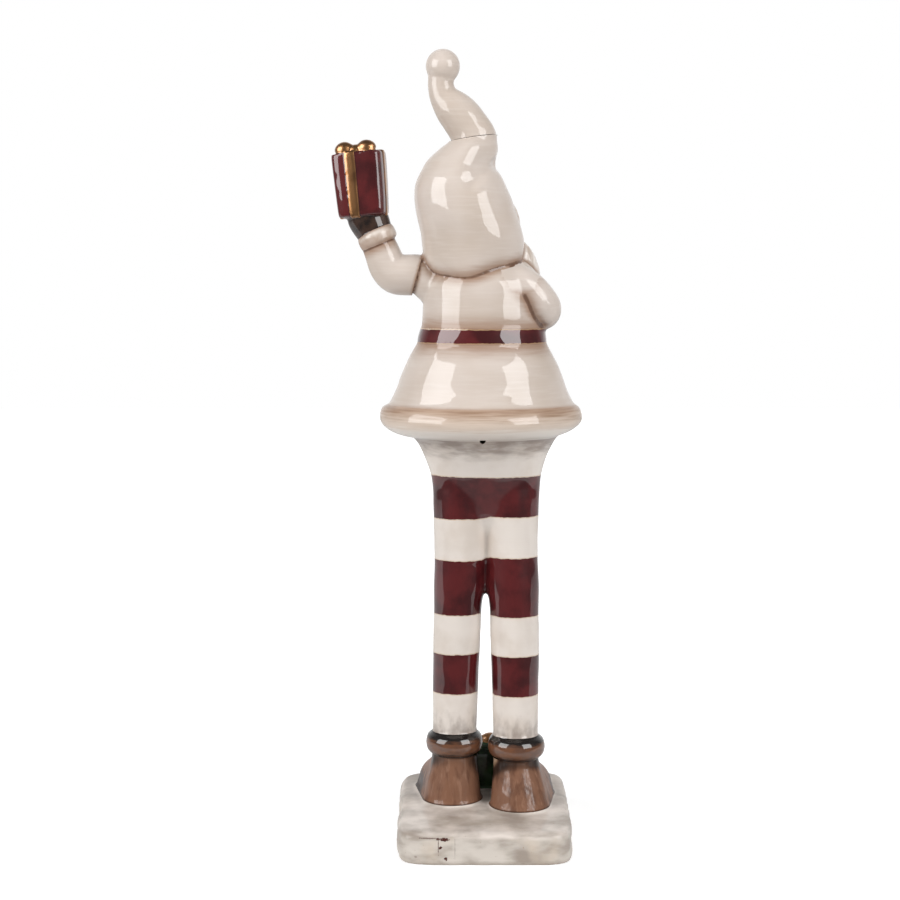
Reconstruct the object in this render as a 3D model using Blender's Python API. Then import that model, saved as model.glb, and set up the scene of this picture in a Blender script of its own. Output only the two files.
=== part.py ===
"""A tall glazed ceramic Santa on long striped legs, holding up a wrapped gift.

The figure is slip-cast: one hollow casting from plinth to hood, with two small castings stuck on, the
curled tip of the hat and the raised arm with its gift. It faces -Y, the raised arm is at +X and the
head is turned a little towards -X. Metres, +Z up, origin at the centre of the plinth's underside.
"""

import math

import bmesh
import bpy
from mathutils import Matrix, Vector

# Plinth
PLINTH_WIDTH = 0.0862
PLINTH_DEPTH = 0.1060
PLINTH_HEIGHT = 0.0155
PLINTH_SQUARENESS = 11.0  # exponent of the superellipse in plan
PLINTH_EDGE = 0.0024

# Boots
BOOT_HEIGHT = 0.0360
BOOT_SPACING = 0.0330  # between the two heels' middles
BOOT_STAGGER = 0.0080  # the right boot stands this much further back than the left
BOOT_FORWARD = 0.0070  # the left heel's middle stands this much in front of the plinth's
BOOT_HEEL_RADIUS = 0.0155
BOOT_TOE_RADIUS = 0.0130
BOOT_TOE_REACH = 0.0220
BOOT_INSTEP = 0.0185
BOOT_SPLAY = 14.0  # degrees that each toe turns out
BOOT_CUFF_RADIUS = 0.0144
BOOT_CUFF_HEIGHT = 0.0100

# Legs
LEG_LENGTH = 0.1165  # from boot to crotch
ANKLE_RADIUS = 0.0111
ANKLE_SPACING = 0.0320
THIGH_RADIUS = 0.0136
THIGH_SPACING = 0.0264
LEG_FLATNESS = 0.92  # depth over width

# Hips
HIP_HEIGHT = 0.0390
HIP_RADIUS = 0.0268
HIP_DEPTH = 0.0135
HIP_FLARE = 0.0360
HIP_X = -0.0006

# Coat
COAT_X = 0.0019
COAT_Y = -0.0030
COAT_FLATNESS = 0.84
HEM_RADIUS = 0.0512
HEM_HEIGHT = 0.0180
SKIRT_HEIGHT = 0.0294
SKIRT_RADIUS = 0.0459
WAIST_RADIUS = 0.0320
BELT_HEIGHT = 0.0065
BELT_PROUD = 0.0005
CHEST_HEIGHT = 0.0370
CHEST_RADIUS = 0.0306
CHEST_X = 0.0010

# Hood, with the tip of the hat on it
HOOD_X = 0.0071
HOOD_Y = 0.0000
HOOD_RADIUS = 0.0257
HOOD_FLATNESS = 0.95
HOOD_HEIGHT = 0.0690
HOOD_SINK = 0.0110  # how far its round bottom reaches below the collar
HOOD_LEAN = 0.0055  # how far its upper half leans towards the raised arm
HAT_NECK_RADIUS = 0.0113
HAT_NECK_X = 0.0058
HAT_SEAM_TILT = 8.0
TIP_HEIGHT = 0.0436
TIP_REACH = 0.0158
TIP_SWELL_RADIUS = 0.0108
TIP_END_RADIUS = 0.0060
BOBBLE_RADIUS = 0.0090

# Face and beard, on the hidden front
HEAD_TURN = 22.0  # degrees towards -X
FACE_RADIUS = 0.0150
FACE_LEVEL = 0.0255  # above the bottom of the hood
FACE_FORWARD = 0.0152
BRIM_RADIUS = 0.0148
BRIM_THICKNESS = 0.0036
BRIM_FORWARD = 0.0206
NOSE_RADIUS = 0.0036
MOUSTACHE_LENGTH = 0.0130
MOUSTACHE_RADIUS = 0.0042
BEARD_LENGTH = 0.0500
BEARD_RADIUS = 0.0252
BEARD_THICKNESS = 0.0110
BEARD_FORWARD = 0.0180
BEARD_SWING = 0.0045  # how far its lower half swings towards -X

# Front of the coat
PLACKET_WIDTH = 0.0095
PLACKET_FLATNESS = 0.42
BUCKLE_WIDTH = 0.0130
BUCKLE_HEIGHT = 0.0100
BUCKLE_PROUD = 0.0012

# Arms
SLEEVE_RADIUS = 0.0098
WRIST_RADIUS = 0.0085
FUR_CUFF_RADIUS = 0.0095
FUR_CUFF_LENGTH = 0.0075
MITTEN_RADIUS = 0.0096
SHOULDER_DROP = 0.0095  # below the collar
SHOULDER_SPREAD = 0.0335
SEAM_LEAN = 16.0  # degrees that the shoulder's joint face leans
ELBOW_OUT = 0.0130
FOREARM_HEIGHT = 0.0175
FOREARM_LEAN = 0.0085
ELBOW_DROP = 0.0170  # of the right arm, below its shoulder
ELBOW_SPREAD = 0.0300
ELBOW_BACK = 0.0030
FOREARM_REACH = 0.0210
FOREARM_IN = 0.0040
FOREARM_DROP = 0.0030

# Gifts
GIFT_WIDTH = 0.0272
GIFT_DEPTH = 0.0215
GIFT_HEIGHT = 0.0330
GIFT_TAPER = 0.89  # bottom over top
GIFT_TURN = 9.0
GIFT_LEAN = 5.0
FLOOR_GIFT_WIDTH = 0.0240
FLOOR_GIFT_DEPTH = 0.0180
FLOOR_GIFT_HEIGHT = 0.0250
FLOOR_GIFT_FORWARD = 0.0320
GIFT_EDGE = 0.0022
RIBBON_WIDTH = 0.0045
RIBBON_PROUD = 0.0005
BOW_RADIUS = 0.0055

# Casting
WALL = 0.0040
POUR_HOLE_RADIUS = 0.0070
POUR_HOLE_BACK = 0.0290
VENT_HOLE_RADIUS = 0.0013
SEAM_GAP = 0.0003
SEAM_STEP = 0.0004  # the stuck-on castings stand this much proud at their joint

# Levels, from the plinth up
BOOT_TOP = PLINTH_HEIGHT + BOOT_HEIGHT
CROTCH = BOOT_TOP + LEG_LENGTH
HEM_BASE = CROTCH + HIP_HEIGHT
HEM_TOP = HEM_BASE + HEM_HEIGHT
BELT_BASE = HEM_TOP + SKIRT_HEIGHT
BELT_TOP = BELT_BASE + BELT_HEIGHT
COLLAR = BELT_TOP + CHEST_HEIGHT
HOOD_BASE = COLLAR - HOOD_SINK
HAT_SEAM = HOOD_BASE + HOOD_HEIGHT
SHOULDER = COLLAR - SHOULDER_DROP

# Facets round each form, outside and in the cavity
BODY_FACETS = 36
HOOD_FACETS = 30
LEG_FACETS = 20
ARM_FACETS = 16
CAVITY_FACETS = 16
SLIVER = 0.000002  # corners closer than this are one


def clear_scene():
    for item in list(bpy.data.objects):
        bpy.data.objects.remove(item, do_unlink=True)


def along_curve(rows, steps):
    """Rows between the given ones, on a Catmull-Rom curve through them."""
    last = len(rows) - 1
    out = []
    for i in range(last):
        near = zip(rows[max(i - 1, 0)], rows[i], rows[i + 1], rows[min(i + 2, last)])
        near = list(near)
        for k in range(steps):
            t = k / steps
            out.append(tuple(
                b + 0.5 * t * (c - a + t * (2 * a - 5 * b + 4 * c - d + t * (3 * (b - c) + d - a)))
                for a, b, c, d in near))
    out.append(tuple(rows[last]))
    return out


def oval(center, across, along, facets, squareness=2.0):
    """Points of a superellipse with two half axes, counted from the first towards the second."""
    points = []
    for i in range(facets):
        angle = 2 * math.pi * i / facets
        c, s = math.cos(angle), math.sin(angle)
        u = math.copysign(abs(c) ** (2 / squareness), c)
        v = math.copysign(abs(s) ** (2 / squareness), s)
        points.append(Vector(center) + Vector(across) * u + Vector(along) * v)
    return points


def solid(name, rings):
    """A closed skin over the rings, with a point in the middle of each end."""
    bm = bmesh.new()
    loops = [[bm.verts.new(p) for p in ring] for ring in rings]
    for low, high in zip(loops, loops[1:]):
        for i in range(len(low)):
            j = (i + 1) % len(low)
            bm.faces.new((low[i], low[j], high[j], high[i]))
    for loop in (loops[0], loops[-1]):
        middle = bm.verts.new(sum((v.co for v in loop), Vector()) / len(loop))
        for i in range(len(loop)):
            bm.faces.new((loop[i], loop[(i + 1) % len(loop)], middle))
    return from_bmesh(name, bm)


def from_bmesh(name, bm):
    """A mesh object with flat facets, so that joining and cutting leave no twisted ones."""
    bmesh.ops.recalc_face_normals(bm, faces=bm.faces)
    bmesh.ops.triangulate(bm, faces=bm.faces)
    mesh = bpy.data.meshes.new(name)
    bm.to_mesh(mesh)
    bm.free()
    item = bpy.data.objects.new(name, mesh)
    bpy.context.scene.collection.objects.link(item)
    return item


def ball(name, center, half, facets=16, turn=0.0):
    """An ellipsoid with the given half sizes, turned about the vertical."""
    bm = bmesh.new()
    bmesh.ops.create_uvsphere(bm, u_segments=facets, v_segments=facets // 2, radius=1.0)
    size = Matrix.Diagonal(Vector(half)).to_4x4()
    place = Matrix.Translation(Vector(center)) @ Matrix.Rotation(turn, 4, "Z")
    bmesh.ops.transform(bm, matrix=place @ size, verts=bm.verts)
    return from_bmesh(name, bm)


def tube(name, rows, facets, flatness=1.0, first_normal=None):
    """A round limb along rows of x, y, z and radius, each ring square to the path."""
    points = [Vector(row[:3]) for row in rows]
    rings = []
    for i, row in enumerate(rows):
        ahead = points[min(i + 1, len(points) - 1)] - points[max(i - 1, 0)]
        if i == 0 and first_normal is not None:
            ahead = first_normal
        ahead = ahead.normalized()
        side = Vector((0, 1, 0)) - ahead * ahead.y
        if side.length < 0.3:
            side = Vector((1, 0, 0)) - ahead * ahead.x
        side.normalize()
        up = ahead.cross(side)
        rings.append(oval(points[i], side * row[3] * flatness, up * row[3], facets))
    return solid(name, rings)


def wire(item):
    item.hide_render = True
    item.display_type = "WIRE"
    return item


def change(target, operation, solids):
    """Join solids to the target in one step, or cut them away, and keep them as hidden guides."""
    group = bpy.data.collections.new(target.name + "_" + operation.lower())
    for item in solids:
        group.objects.link(wire(item))
    step = target.modifiers.new(operation.lower(), "BOOLEAN")
    step.operation = operation
    step.solver = "EXACT" if operation == "UNION" else "MANIFOLD"
    step.operand_type = "COLLECTION"
    step.collection = group
    tidy = target.modifiers.new("tidy", "WELD")
    tidy.merge_threshold = SLIVER
    target.modifiers.new("facets", "TRIANGULATE")
    return target


def join(target, solids):
    return change(target, "UNION", solids)


def glaze(name, colour, roughness):
    material = bpy.data.materials.new(name)
    material.use_nodes = True
    shader = material.node_tree.nodes["Principled BSDF"]
    shader.inputs["Base Color"].default_value = (*colour, 1.0)
    shader.inputs["Roughness"].default_value = roughness
    shader.inputs["Metallic"].default_value = 0.0
    return material


def finish(item, material):
    item.data.materials.clear()
    item.data.materials.append(material)
    item.data.shade_smooth()
    item.data.set_sharp_from_angle(angle=math.radians(40))


def plinth(name, inset, facets):
    """The slab underfoot: a rounded rectangle with soft edges."""
    half = (PLINTH_WIDTH / 2 - inset, PLINTH_DEPTH / 2 - inset)
    low, high = inset, PLINTH_HEIGHT - inset
    edge = max(PLINTH_EDGE - inset, PLINTH_EDGE * 0.2)
    levels = [(low, edge), (low + 0.3 * edge, 0.3 * edge), (low + edge, 0.0),
              (high - edge, 0.0), (high - 0.3 * edge, 0.3 * edge), (high, edge)]
    rings = []
    for z, back in levels:
        across, along = Vector((half[0] - back, 0, 0)), Vector((0, half[1] - back, 0))
        rings.append(oval((0, 0, z), across, along, facets, PLINTH_SQUARENESS))
    return solid(name, rings)


def heel(side):
    """Middle of a heel in plan: side is 1 for the figure's left at +X and -1 for its right."""
    return Vector((side * BOOT_SPACING / 2, -BOOT_FORWARD + (BOOT_STAGGER if side < 0 else 0.0), 0))


def ankle(side):
    return Vector((HIP_X + side * ANKLE_SPACING / 2, heel(side).y, 0))


def boot_ring(side, z, reach, toe, back, shift, facets):
    """One level of a boot: the outline round a heel circle and a smaller toe circle."""
    turn = math.radians(-90 + side * BOOT_SPLAY)
    ahead = Vector((math.cos(turn), math.sin(turn), 0))
    across = Vector((-ahead.y, ahead.x, 0))
    middle = heel(side).lerp(ankle(side), shift) + Vector((0, 0, z))
    ring = []
    for i in range(facets):
        angle = 2 * math.pi * (i + 0.5) / facets - math.pi / 2
        radius, start = (toe, middle + ahead * reach) if i < facets // 2 else (back, middle)
        ring.append(start + ahead * math.cos(angle) * radius + across * math.sin(angle) * radius)
    return ring


def boot(name, side, inset, facets):
    """Sole, round toe and instep, rising to the ankle inside the cuff."""
    base, lift = PLINTH_HEIGHT - (WALL if inset else PLINTH_EDGE / 2), BOOT_INSTEP - inset
    levels = [  # share of the instep, of the reach, of the toe, of the heel, towards the ankle
        (0.00, 0.97, 0.93, 0.96, 0.0),
        (0.22, 1.00, 1.00, 1.02, 0.0),
        (0.50, 0.98, 0.96, 0.97, 0.2),
        (0.78, 0.82, 0.85, 0.88, 0.5),
        (0.95, 0.52, 0.80, 0.80, 0.8),
        (1.10, 0.16, 0.78, 0.73, 1.0)]
    rows = []
    for height, reach, toe, back, shift in levels:
        z = PLINTH_HEIGHT + height * lift if height else base
        rows.append((z, reach * BOOT_TOE_REACH, toe * BOOT_TOE_RADIUS - inset,
                     back * BOOT_HEEL_RADIUS - inset, shift))
    top = ANKLE_RADIUS - inset
    rows.append((BOOT_TOP - BOOT_CUFF_HEIGHT * 0.6, 0.0, top, top, 1.0))
    rings = [boot_ring(side, *row, facets) for row in rows]
    return solid(name, rings)


def boot_cuff(name, side):
    """A rolled fur band round the top of a boot."""
    half = BOOT_CUFF_HEIGHT / 2
    middle = ankle(side) + Vector((0, 0, BOOT_TOP - half))
    rings = []
    for share, radius in ((-1.0, 0.82), (-0.75, 0.95), (0.0, 1.0), (0.75, 0.95), (1.0, 0.80)):
        size = BOOT_CUFF_RADIUS * radius
        level = middle + Vector((0, 0, share * half))
        rings.append(oval(level, (size, 0, 0), (0, size, 0), LEG_FACETS))
    return solid(name, rings)


def leg(name, side, inset, facets):
    """A straight leg that thickens and leans in towards the crotch."""
    foot, thigh = ankle(side), Vector((HIP_X + side * THIGH_SPACING / 2, COAT_Y, 0))
    low = BOOT_TOP - BOOT_CUFF_HEIGHT if not inset else PLINTH_HEIGHT
    high = CROTCH + HIP_HEIGHT * 0.35
    rings = []
    for z, share in ((low, 0.0), (BOOT_TOP, 0.0), (BOOT_TOP + LEG_LENGTH * 0.33, 0.49),
                     (BOOT_TOP + LEG_LENGTH * 0.66, 0.96), (CROTCH, 1.0), (high, 1.0)):
        radius = ANKLE_RADIUS + (THIGH_RADIUS - ANKLE_RADIUS) * share - inset
        middle = foot.lerp(thigh, share) + Vector((0, 0, z))
        rings.append(oval(middle, (radius, 0, 0), (0, radius * LEG_FLATNESS, 0), facets))
    return solid(name, rings)


def lobed_ring(z, x, half_width, half_depth, lobe, inset, facets):
    """The outer outline of an oval and of two lobes side by side, which the legs grow out of."""
    spread, depth = lobe * 0.99, lobe * LEG_FLATNESS
    ring = []
    for i in range(facets):
        angle = 2 * math.pi * i / facets
        c, s = math.cos(angle), math.sin(angle)
        reach = 1 / math.hypot(c / half_width, s / half_depth)
        if lobe:
            b = abs(c) * spread / lobe ** 2
            a = (c / lobe) ** 2 + (s / depth) ** 2
            reach = max(reach, (b + math.sqrt(b * b - a * (spread ** 2 / lobe ** 2 - 1))) / a)
        ring.append(Vector((x + (reach - inset) * c, COAT_Y + (reach - inset) * s, z)))
    return ring


def hip_rows():
    """Level, middle, half width, half depth and lobe radius, from the thighs up to the hem."""
    flare_depth = HIP_FLARE * COAT_FLATNESS
    return [
        (CROTCH - LEG_LENGTH * 0.22, HIP_X, HIP_RADIUS * 0.70, HIP_DEPTH * 0.12, THIGH_RADIUS * 0.94),
        (CROTCH - LEG_LENGTH * 0.08, HIP_X, HIP_RADIUS * 0.88, HIP_DEPTH * 0.45, THIGH_RADIUS * 0.975),
        (CROTCH, HIP_X, HIP_RADIUS * 0.93, HIP_DEPTH * 0.78, THIGH_RADIUS * 1.005),
        (CROTCH + HIP_HEIGHT * 0.26, HIP_X, HIP_RADIUS * 0.98, HIP_DEPTH, THIGH_RADIUS * 1.015),
        (CROTCH + HIP_HEIGHT * 0.50, HIP_X, HIP_RADIUS * 1.05, HIP_DEPTH * 1.28, THIGH_RADIUS),
        (CROTCH + HIP_HEIGHT * 0.74, HIP_X, HIP_FLARE * 0.86, flare_depth * 0.76, THIGH_RADIUS * 0.81),
        (CROTCH + HIP_HEIGHT * 0.94, (HIP_X + COAT_X) / 2, HIP_FLARE * 0.97, flare_depth * 0.93, 0.0)]


def coat_rows():
    """Level, middle, half width and half depth of the hem's roll, skirt, belt and chest."""
    rows = []
    for share, radius in ((0.0, HIP_FLARE * 1.05), (0.12, HEM_RADIUS * 0.87), (0.26, HEM_RADIUS * 0.95),
                          (0.42, HEM_RADIUS * 0.993), (0.58, HEM_RADIUS), (0.74, HEM_RADIUS * 0.982),
                          (0.88, HEM_RADIUS * 0.942), (1.0, SKIRT_RADIUS)):
        rows.append((HEM_BASE + HEM_HEIGHT * share, COAT_X, radius))
    for share, drop in ((0.10, 0.12), (0.40, 0.38), (0.61, 0.56), (0.82, 0.78), (0.92, 0.91), (1.0, 1.0)):
        radius = SKIRT_RADIUS + (WAIST_RADIUS - SKIRT_RADIUS) * drop
        rows.append((HEM_TOP + SKIRT_HEIGHT * share, COAT_X, radius))
    above = (CHEST_X + COAT_X) / 2
    rows.append((BELT_BASE, COAT_X, WAIST_RADIUS + BELT_PROUD))
    rows.append((BELT_TOP, above, CHEST_RADIUS + BELT_PROUD))
    rows.append((BELT_TOP, above, CHEST_RADIUS))
    for share, radius in ((0.10, 1.0), (0.35, 0.993), (0.62, 0.97), (0.80, 0.89), (0.94, 0.76), (1.04, 0.55)):
        rows.append((BELT_TOP + CHEST_HEIGHT * share, CHEST_X, CHEST_RADIUS * radius))
    return [(z, x, radius, radius * COAT_FLATNESS, 0.0) for z, x, radius in rows]


def trunk(name, inset, facets):
    """Hips, flared skirt and chest as one turned and flattened form."""
    rows = hip_rows() + coat_rows()
    if inset:
        rows = [row for row in rows if CROTCH - inset < row[0] < COLLAR]
        rows = rows[::2] + rows[-1:]
    return solid(name, [lobed_ring(*row, inset, facets) for row in rows])


def hood_rows():
    """Level, middle and half width from the hood's round bottom up to the neck of the tip."""
    top = HAT_SEAM + HAT_NECK_RADIUS
    rows = [(HOOD_BASE + HOOD_HEIGHT * share, HOOD_X + HOOD_LEAN * lean, HOOD_RADIUS * radius)
            for share, lean, radius in (
                (0.00, 0.20, 0.42), (0.04, 0.10, 0.72), (0.12, -0.15, 0.93), (0.24, -0.22, 1.00),
                (0.37, 0.05, 0.995), (0.49, 0.50, 0.97), (0.60, 0.85, 0.92), (0.71, 1.05, 0.81),
                (0.81, 0.98, 0.69), (0.90, 0.55, 0.56))]
    rows.append((HAT_SEAM, HAT_NECK_X, HAT_NECK_RADIUS))
    rows.append((top, HAT_NECK_X, HAT_NECK_RADIUS))
    return rows


def hood(name, inset, facets):
    rings = []
    for z, x, radius in hood_rows():
        if inset and z > HAT_SEAM - 2 * inset:
            break
        size = radius - inset
        rings.append(oval((x, HOOD_Y, z), (size, 0, 0), (0, size * HOOD_FLATNESS, 0), facets))
    return solid(name, rings[1:] if inset else rings)


def seam_normal():
    """Square to the joint face between the hood and the tip of the hat."""
    tilt = math.radians(HAT_SEAM_TILT)
    return Vector((math.sin(tilt), 0, math.cos(tilt)))


def shoulder_normal():
    """Square to the joint face between the shoulder and the raised arm."""
    lean = math.radians(SEAM_LEAN)
    return Vector((math.cos(lean), 0, math.sin(lean)))


def shoulder_point():
    return Vector((SHOULDER_SPREAD, COAT_Y, SHOULDER))


def half_space(name, point, normal, size):
    """A block whose one face lies on the plane, on the side that the normal points to."""
    bm = bmesh.new()
    bmesh.ops.create_cube(bm, size=size)
    place = Matrix.Translation(point + normal * size / 2) @ normal.to_track_quat("Z", "Y").to_matrix().to_4x4()
    bmesh.ops.transform(bm, matrix=place, verts=bm.verts)
    return from_bmesh(name, bm)


def head_axes():
    """Ahead and across for the turned head."""
    turn = math.radians(HEAD_TURN)
    ahead = Vector((-math.sin(turn), -math.cos(turn), 0))
    return ahead, Vector((ahead.y, -ahead.x, 0))


def face_middle(forward=FACE_FORWARD):
    ahead, _ = head_axes()
    return Vector((HOOD_X, HOOD_Y, HOOD_BASE + FACE_LEVEL)) + ahead * forward


def face():
    """A plain oval face in the hood's opening, with nose and moustache."""
    ahead, across = head_axes()
    middle, turn = face_middle(), math.radians(-HEAD_TURN)
    skin = ball("face", middle, (FACE_RADIUS, FACE_RADIUS * 0.88, FACE_RADIUS * 1.05), 16, turn)
    front = middle + ahead * FACE_RADIUS * 0.90
    nose = ball("nose", front - Vector((0, 0, FACE_RADIUS * 0.08)), (NOSE_RADIUS,) * 3, 8)
    solids = [skin, nose]
    for side in (-1, 1):
        rows = []
        for share, drop, radius in ((0.0, 0.30, 0.8), (0.35, 0.36, 1.0), (0.70, 0.48, 0.85), (1.0, 0.40, 0.35)):
            point = middle + across * side * MOUSTACHE_LENGTH * share
            point += ahead * FACE_RADIUS * (0.88 - 0.22 * share) - Vector((0, 0, FACE_RADIUS * drop))
            rows.append((*point, MOUSTACHE_RADIUS * radius))
        solids.append(tube("moustache", rows, 8))
    return solids


def brim():
    """The fur roll round the hood's opening, as a ring of beads run together."""
    ahead, across = head_axes()
    middle = face_middle(BRIM_FORWARD)
    facets, sides = 22, 7
    rings = []
    for i in range(facets):
        angle = 2 * math.pi * i / facets
        out = across * math.cos(angle) + Vector((0, 0, 1.05 * math.sin(angle)))
        rings.append(oval(middle + out * BRIM_RADIUS, out * BRIM_THICKNESS, ahead * BRIM_THICKNESS, sides))
    bm = bmesh.new()
    loops = [[bm.verts.new(p) for p in ring] for ring in rings]
    for k, loop in enumerate(loops):
        other = loops[(k + 1) % facets]
        for i in range(sides):
            j = (i + 1) % sides
            bm.faces.new((loop[i], loop[j], other[j], other[i]))
    return from_bmesh("brim", bm)


def beard():
    """A full beard that spreads over the chest and swings with the turned head."""
    ahead, across = head_axes()
    top = HOOD_BASE + FACE_LEVEL - NOSE_RADIUS
    rows = []
    for share, width, thick, out in (
            (0.00, 0.66, 0.55, 0.80), (0.12, 0.92, 0.75, 0.88), (0.28, 1.00, 0.95, 1.00),
            (0.44, 1.00, 1.00, 1.12), (0.62, 0.82, 1.00, 1.22), (0.80, 0.50, 0.85, 1.30),
            (0.93, 0.25, 0.60, 1.36), (1.00, 0.10, 0.30, 1.38)):
        rows.append((top - BEARD_LENGTH * share, BEARD_FORWARD * out, BEARD_RADIUS * width,
                     BEARD_THICKNESS * thick))
    rings = []
    for z, out, width, thick in rows:
        swing = BEARD_SWING * min(1.0, (top - z) / BEARD_THICKNESS)
        middle = Vector((HOOD_X - swing, HOOD_Y, z)) + ahead * out
        rings.append(oval(middle, across * width, ahead * thick, 20))
    return solid("beard", rings)


def mitten(name, start, ahead, up):
    """A round mitten with a thumb, from the wrist towards its tip."""
    size = MITTEN_RADIUS
    rows = []
    for share, radius in ((-0.4, 0.80), (0.3, 0.98), (1.0, 1.02), (1.6, 0.80), (1.95, 0.40)):
        rows.append((*(start + ahead * size * share), size * radius))
    hand = tube(name, rows, ARM_FACETS, 0.80)
    thumb = []
    for share, out, radius in ((0.1, 0.3, 0.42), (0.7, 0.80, 0.42), (1.25, 0.92, 0.34)):
        thumb.append((*(start + ahead * size * share + up * size * out), size * radius))
    return [hand, tube(name + "_thumb", thumb, 8)]


def fur_cuff(name, middle, ahead):
    """A rolled fur band round a wrist."""
    rows = []
    for share, radius in ((-0.5, 0.84), (-0.3, 0.97), (0.0, 1.0), (0.3, 0.97), (0.5, 0.84)):
        rows.append((*(middle + ahead * FUR_CUFF_LENGTH * share), FUR_CUFF_RADIUS * radius))
    return tube(name, rows, ARM_FACETS)


def right_arm():
    """The arm that hangs at the side, bent at the elbow, with its mitten on the belly."""
    start = Vector((CHEST_X - SHOULDER_SPREAD * 0.52, COAT_Y, SHOULDER - 0.3 * SLEEVE_RADIUS))
    elbow = Vector((CHEST_X - ELBOW_SPREAD, COAT_Y + ELBOW_BACK, SHOULDER - ELBOW_DROP))
    wrist = elbow + Vector((FOREARM_IN, -FOREARM_REACH, -FOREARM_DROP))
    ahead = (wrist - elbow).normalized()
    upper = tube("upper_arm", [(*start, SLEEVE_RADIUS * 0.95), (*elbow, SLEEVE_RADIUS)], ARM_FACETS)
    fore = tube("forearm", [(*elbow, SLEEVE_RADIUS * 0.99), (*wrist, WRIST_RADIUS)], ARM_FACETS)
    solids = [upper, ball("elbow", elbow, (SLEEVE_RADIUS * 1.01,) * 3, ARM_FACETS), fore]
    solids.append(fur_cuff("right_cuff", wrist, ahead))
    inward = (ahead + Vector((0.55, 0, 0))).normalized()
    return solids + mitten("right_mitten", wrist + inward * WRIST_RADIUS * 0.5, inward, Vector((0, 0, 1)))


def box(name, width, depth, height, taper, edge, steps=1):
    """A soft-edged block that stands on its own origin, narrower below."""
    bm = bmesh.new()
    bmesh.ops.create_cube(bm, size=1.0)
    for v in bm.verts:
        share = taper if v.co.z < 0 else 1.0
        v.co = Vector((v.co.x * width * share, v.co.y * depth * share, (v.co.z + 0.5) * height))
    bmesh.ops.bevel(bm, geom=bm.edges[:], offset=edge, segments=steps, profile=0.5, affect="EDGES")
    return from_bmesh(name, bm)


def bow(name, level):
    """Two loops and a knot, flattened on top of a gift."""
    size = BOW_RADIUS
    solids = [ball(name + "_knot", (0, 0, level + size * 0.35), (size * 0.55, size * 0.6, size * 0.62), 10)]
    for side in (-1, 1):
        loop = ball(name + "_loop", (0, 0, 0), (size, size * 0.72, size * 0.55), 10)
        tilt = Matrix.Rotation(-side * math.radians(22), 4, "Y")
        place = Matrix.Translation((side * size * 1.05, 0, level + size * 0.42))
        loop.data.transform(place @ tilt)
        solids.append(loop)
    return solids


def gift(name, width, depth, height, taper, place):
    """A wrapped gift: block, two ribbons round it and a bow on top."""
    proud = 2 * RIBBON_PROUD
    solids = [
        box(name, width, depth, height, taper, GIFT_EDGE, 2),
        box(name + "_ribbon", RIBBON_WIDTH, depth + proud, height + RIBBON_PROUD, taper, GIFT_EDGE * 0.4),
        box(name + "_side_ribbon", width + proud, RIBBON_WIDTH, height + RIBBON_PROUD / 2, taper, GIFT_EDGE * 0.4)]
    solids += bow(name + "_bow", height)
    for item in solids:
        item.data.transform(place)
    return solids


def coat_front(z, half_width):
    return Vector((COAT_X, COAT_Y - half_width * COAT_FLATNESS, z))


def front_trim():
    """The fur placket down the skirt's front and the belt's square buckle."""
    rows = [(*coat_front(z, half_width), PLACKET_WIDTH / 2)
            for z, _, half_width, _, _ in coat_rows() if HEM_BASE + HEM_HEIGHT * 0.7 < z < BELT_BASE]
    level = (BELT_BASE + BELT_TOP) / 2
    rows.append((*coat_front(level, WAIST_RADIUS - BELT_PROUD), PLACKET_WIDTH / 2))
    placket = tube("placket", rows, 12, PLACKET_FLATNESS)
    middle = coat_front(level, (WAIST_RADIUS + CHEST_RADIUS) / 2 + BELT_PROUD)
    depth = WALL + BUCKLE_PROUD
    buckle = box("buckle", BUCKLE_WIDTH, depth, BUCKLE_HEIGHT, 1.0, BUCKLE_PROUD * 0.6)
    shift = Vector((0, depth / 2 - 2 * BUCKLE_PROUD, -BUCKLE_HEIGHT / 2))
    buckle.data.transform(Matrix.Translation(middle + shift))
    return [placket, buckle]


def cylinder(name, start, end, radius, facets):
    axis = end - start
    side = axis.orthogonal().normalized() * radius
    other = axis.normalized().cross(side)
    return solid(name, [oval(point, side, other, facets) for point in (start, end)])


def shoulder_stub():
    """The round of the shoulder that the raised arm is stuck to."""
    normal = shoulder_normal()
    face_point = shoulder_point()
    inner = face_point - normal * SHOULDER_SPREAD * 0.55
    rows = [(*inner, SLEEVE_RADIUS), (*face_point.lerp(inner, 0.5), SLEEVE_RADIUS),
            (*face_point, SLEEVE_RADIUS - SEAM_STEP)]
    return tube("shoulder", rows, ARM_FACETS, 1.0, normal)


def cavity():
    """The hollow that the poured slip leaves, open at the pour hole and the vent."""
    hollow = trunk("cavity", WALL, CAVITY_FACETS)
    parts = [hood("cavity_hood", WALL, CAVITY_FACETS), plinth("cavity_plinth", WALL, CAVITY_FACETS)]
    for side in (-1, 1):
        parts.append(leg("cavity_leg", side, WALL, CAVITY_FACETS // 2))
        parts.append(boot("cavity_boot", side, WALL, CAVITY_FACETS // 2))
    return join(hollow, parts)


def holes():
    pour = cylinder("pour_hole", Vector((0, POUR_HOLE_BACK, -WALL)), Vector((0, POUR_HOLE_BACK, 1.5 * WALL)),
                    POUR_HOLE_RADIUS, CAVITY_FACETS)
    level = HEM_BASE - VENT_HOLE_RADIUS
    outer = Vector((HIP_X, COAT_Y + HEM_RADIUS, level))
    inner = Vector((HIP_X, COAT_Y + HIP_FLARE * COAT_FLATNESS - 2.5 * WALL, level))
    return [pour, cylinder("vent_hole", outer, inner, VENT_HOLE_RADIUS, 12)]


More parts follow.
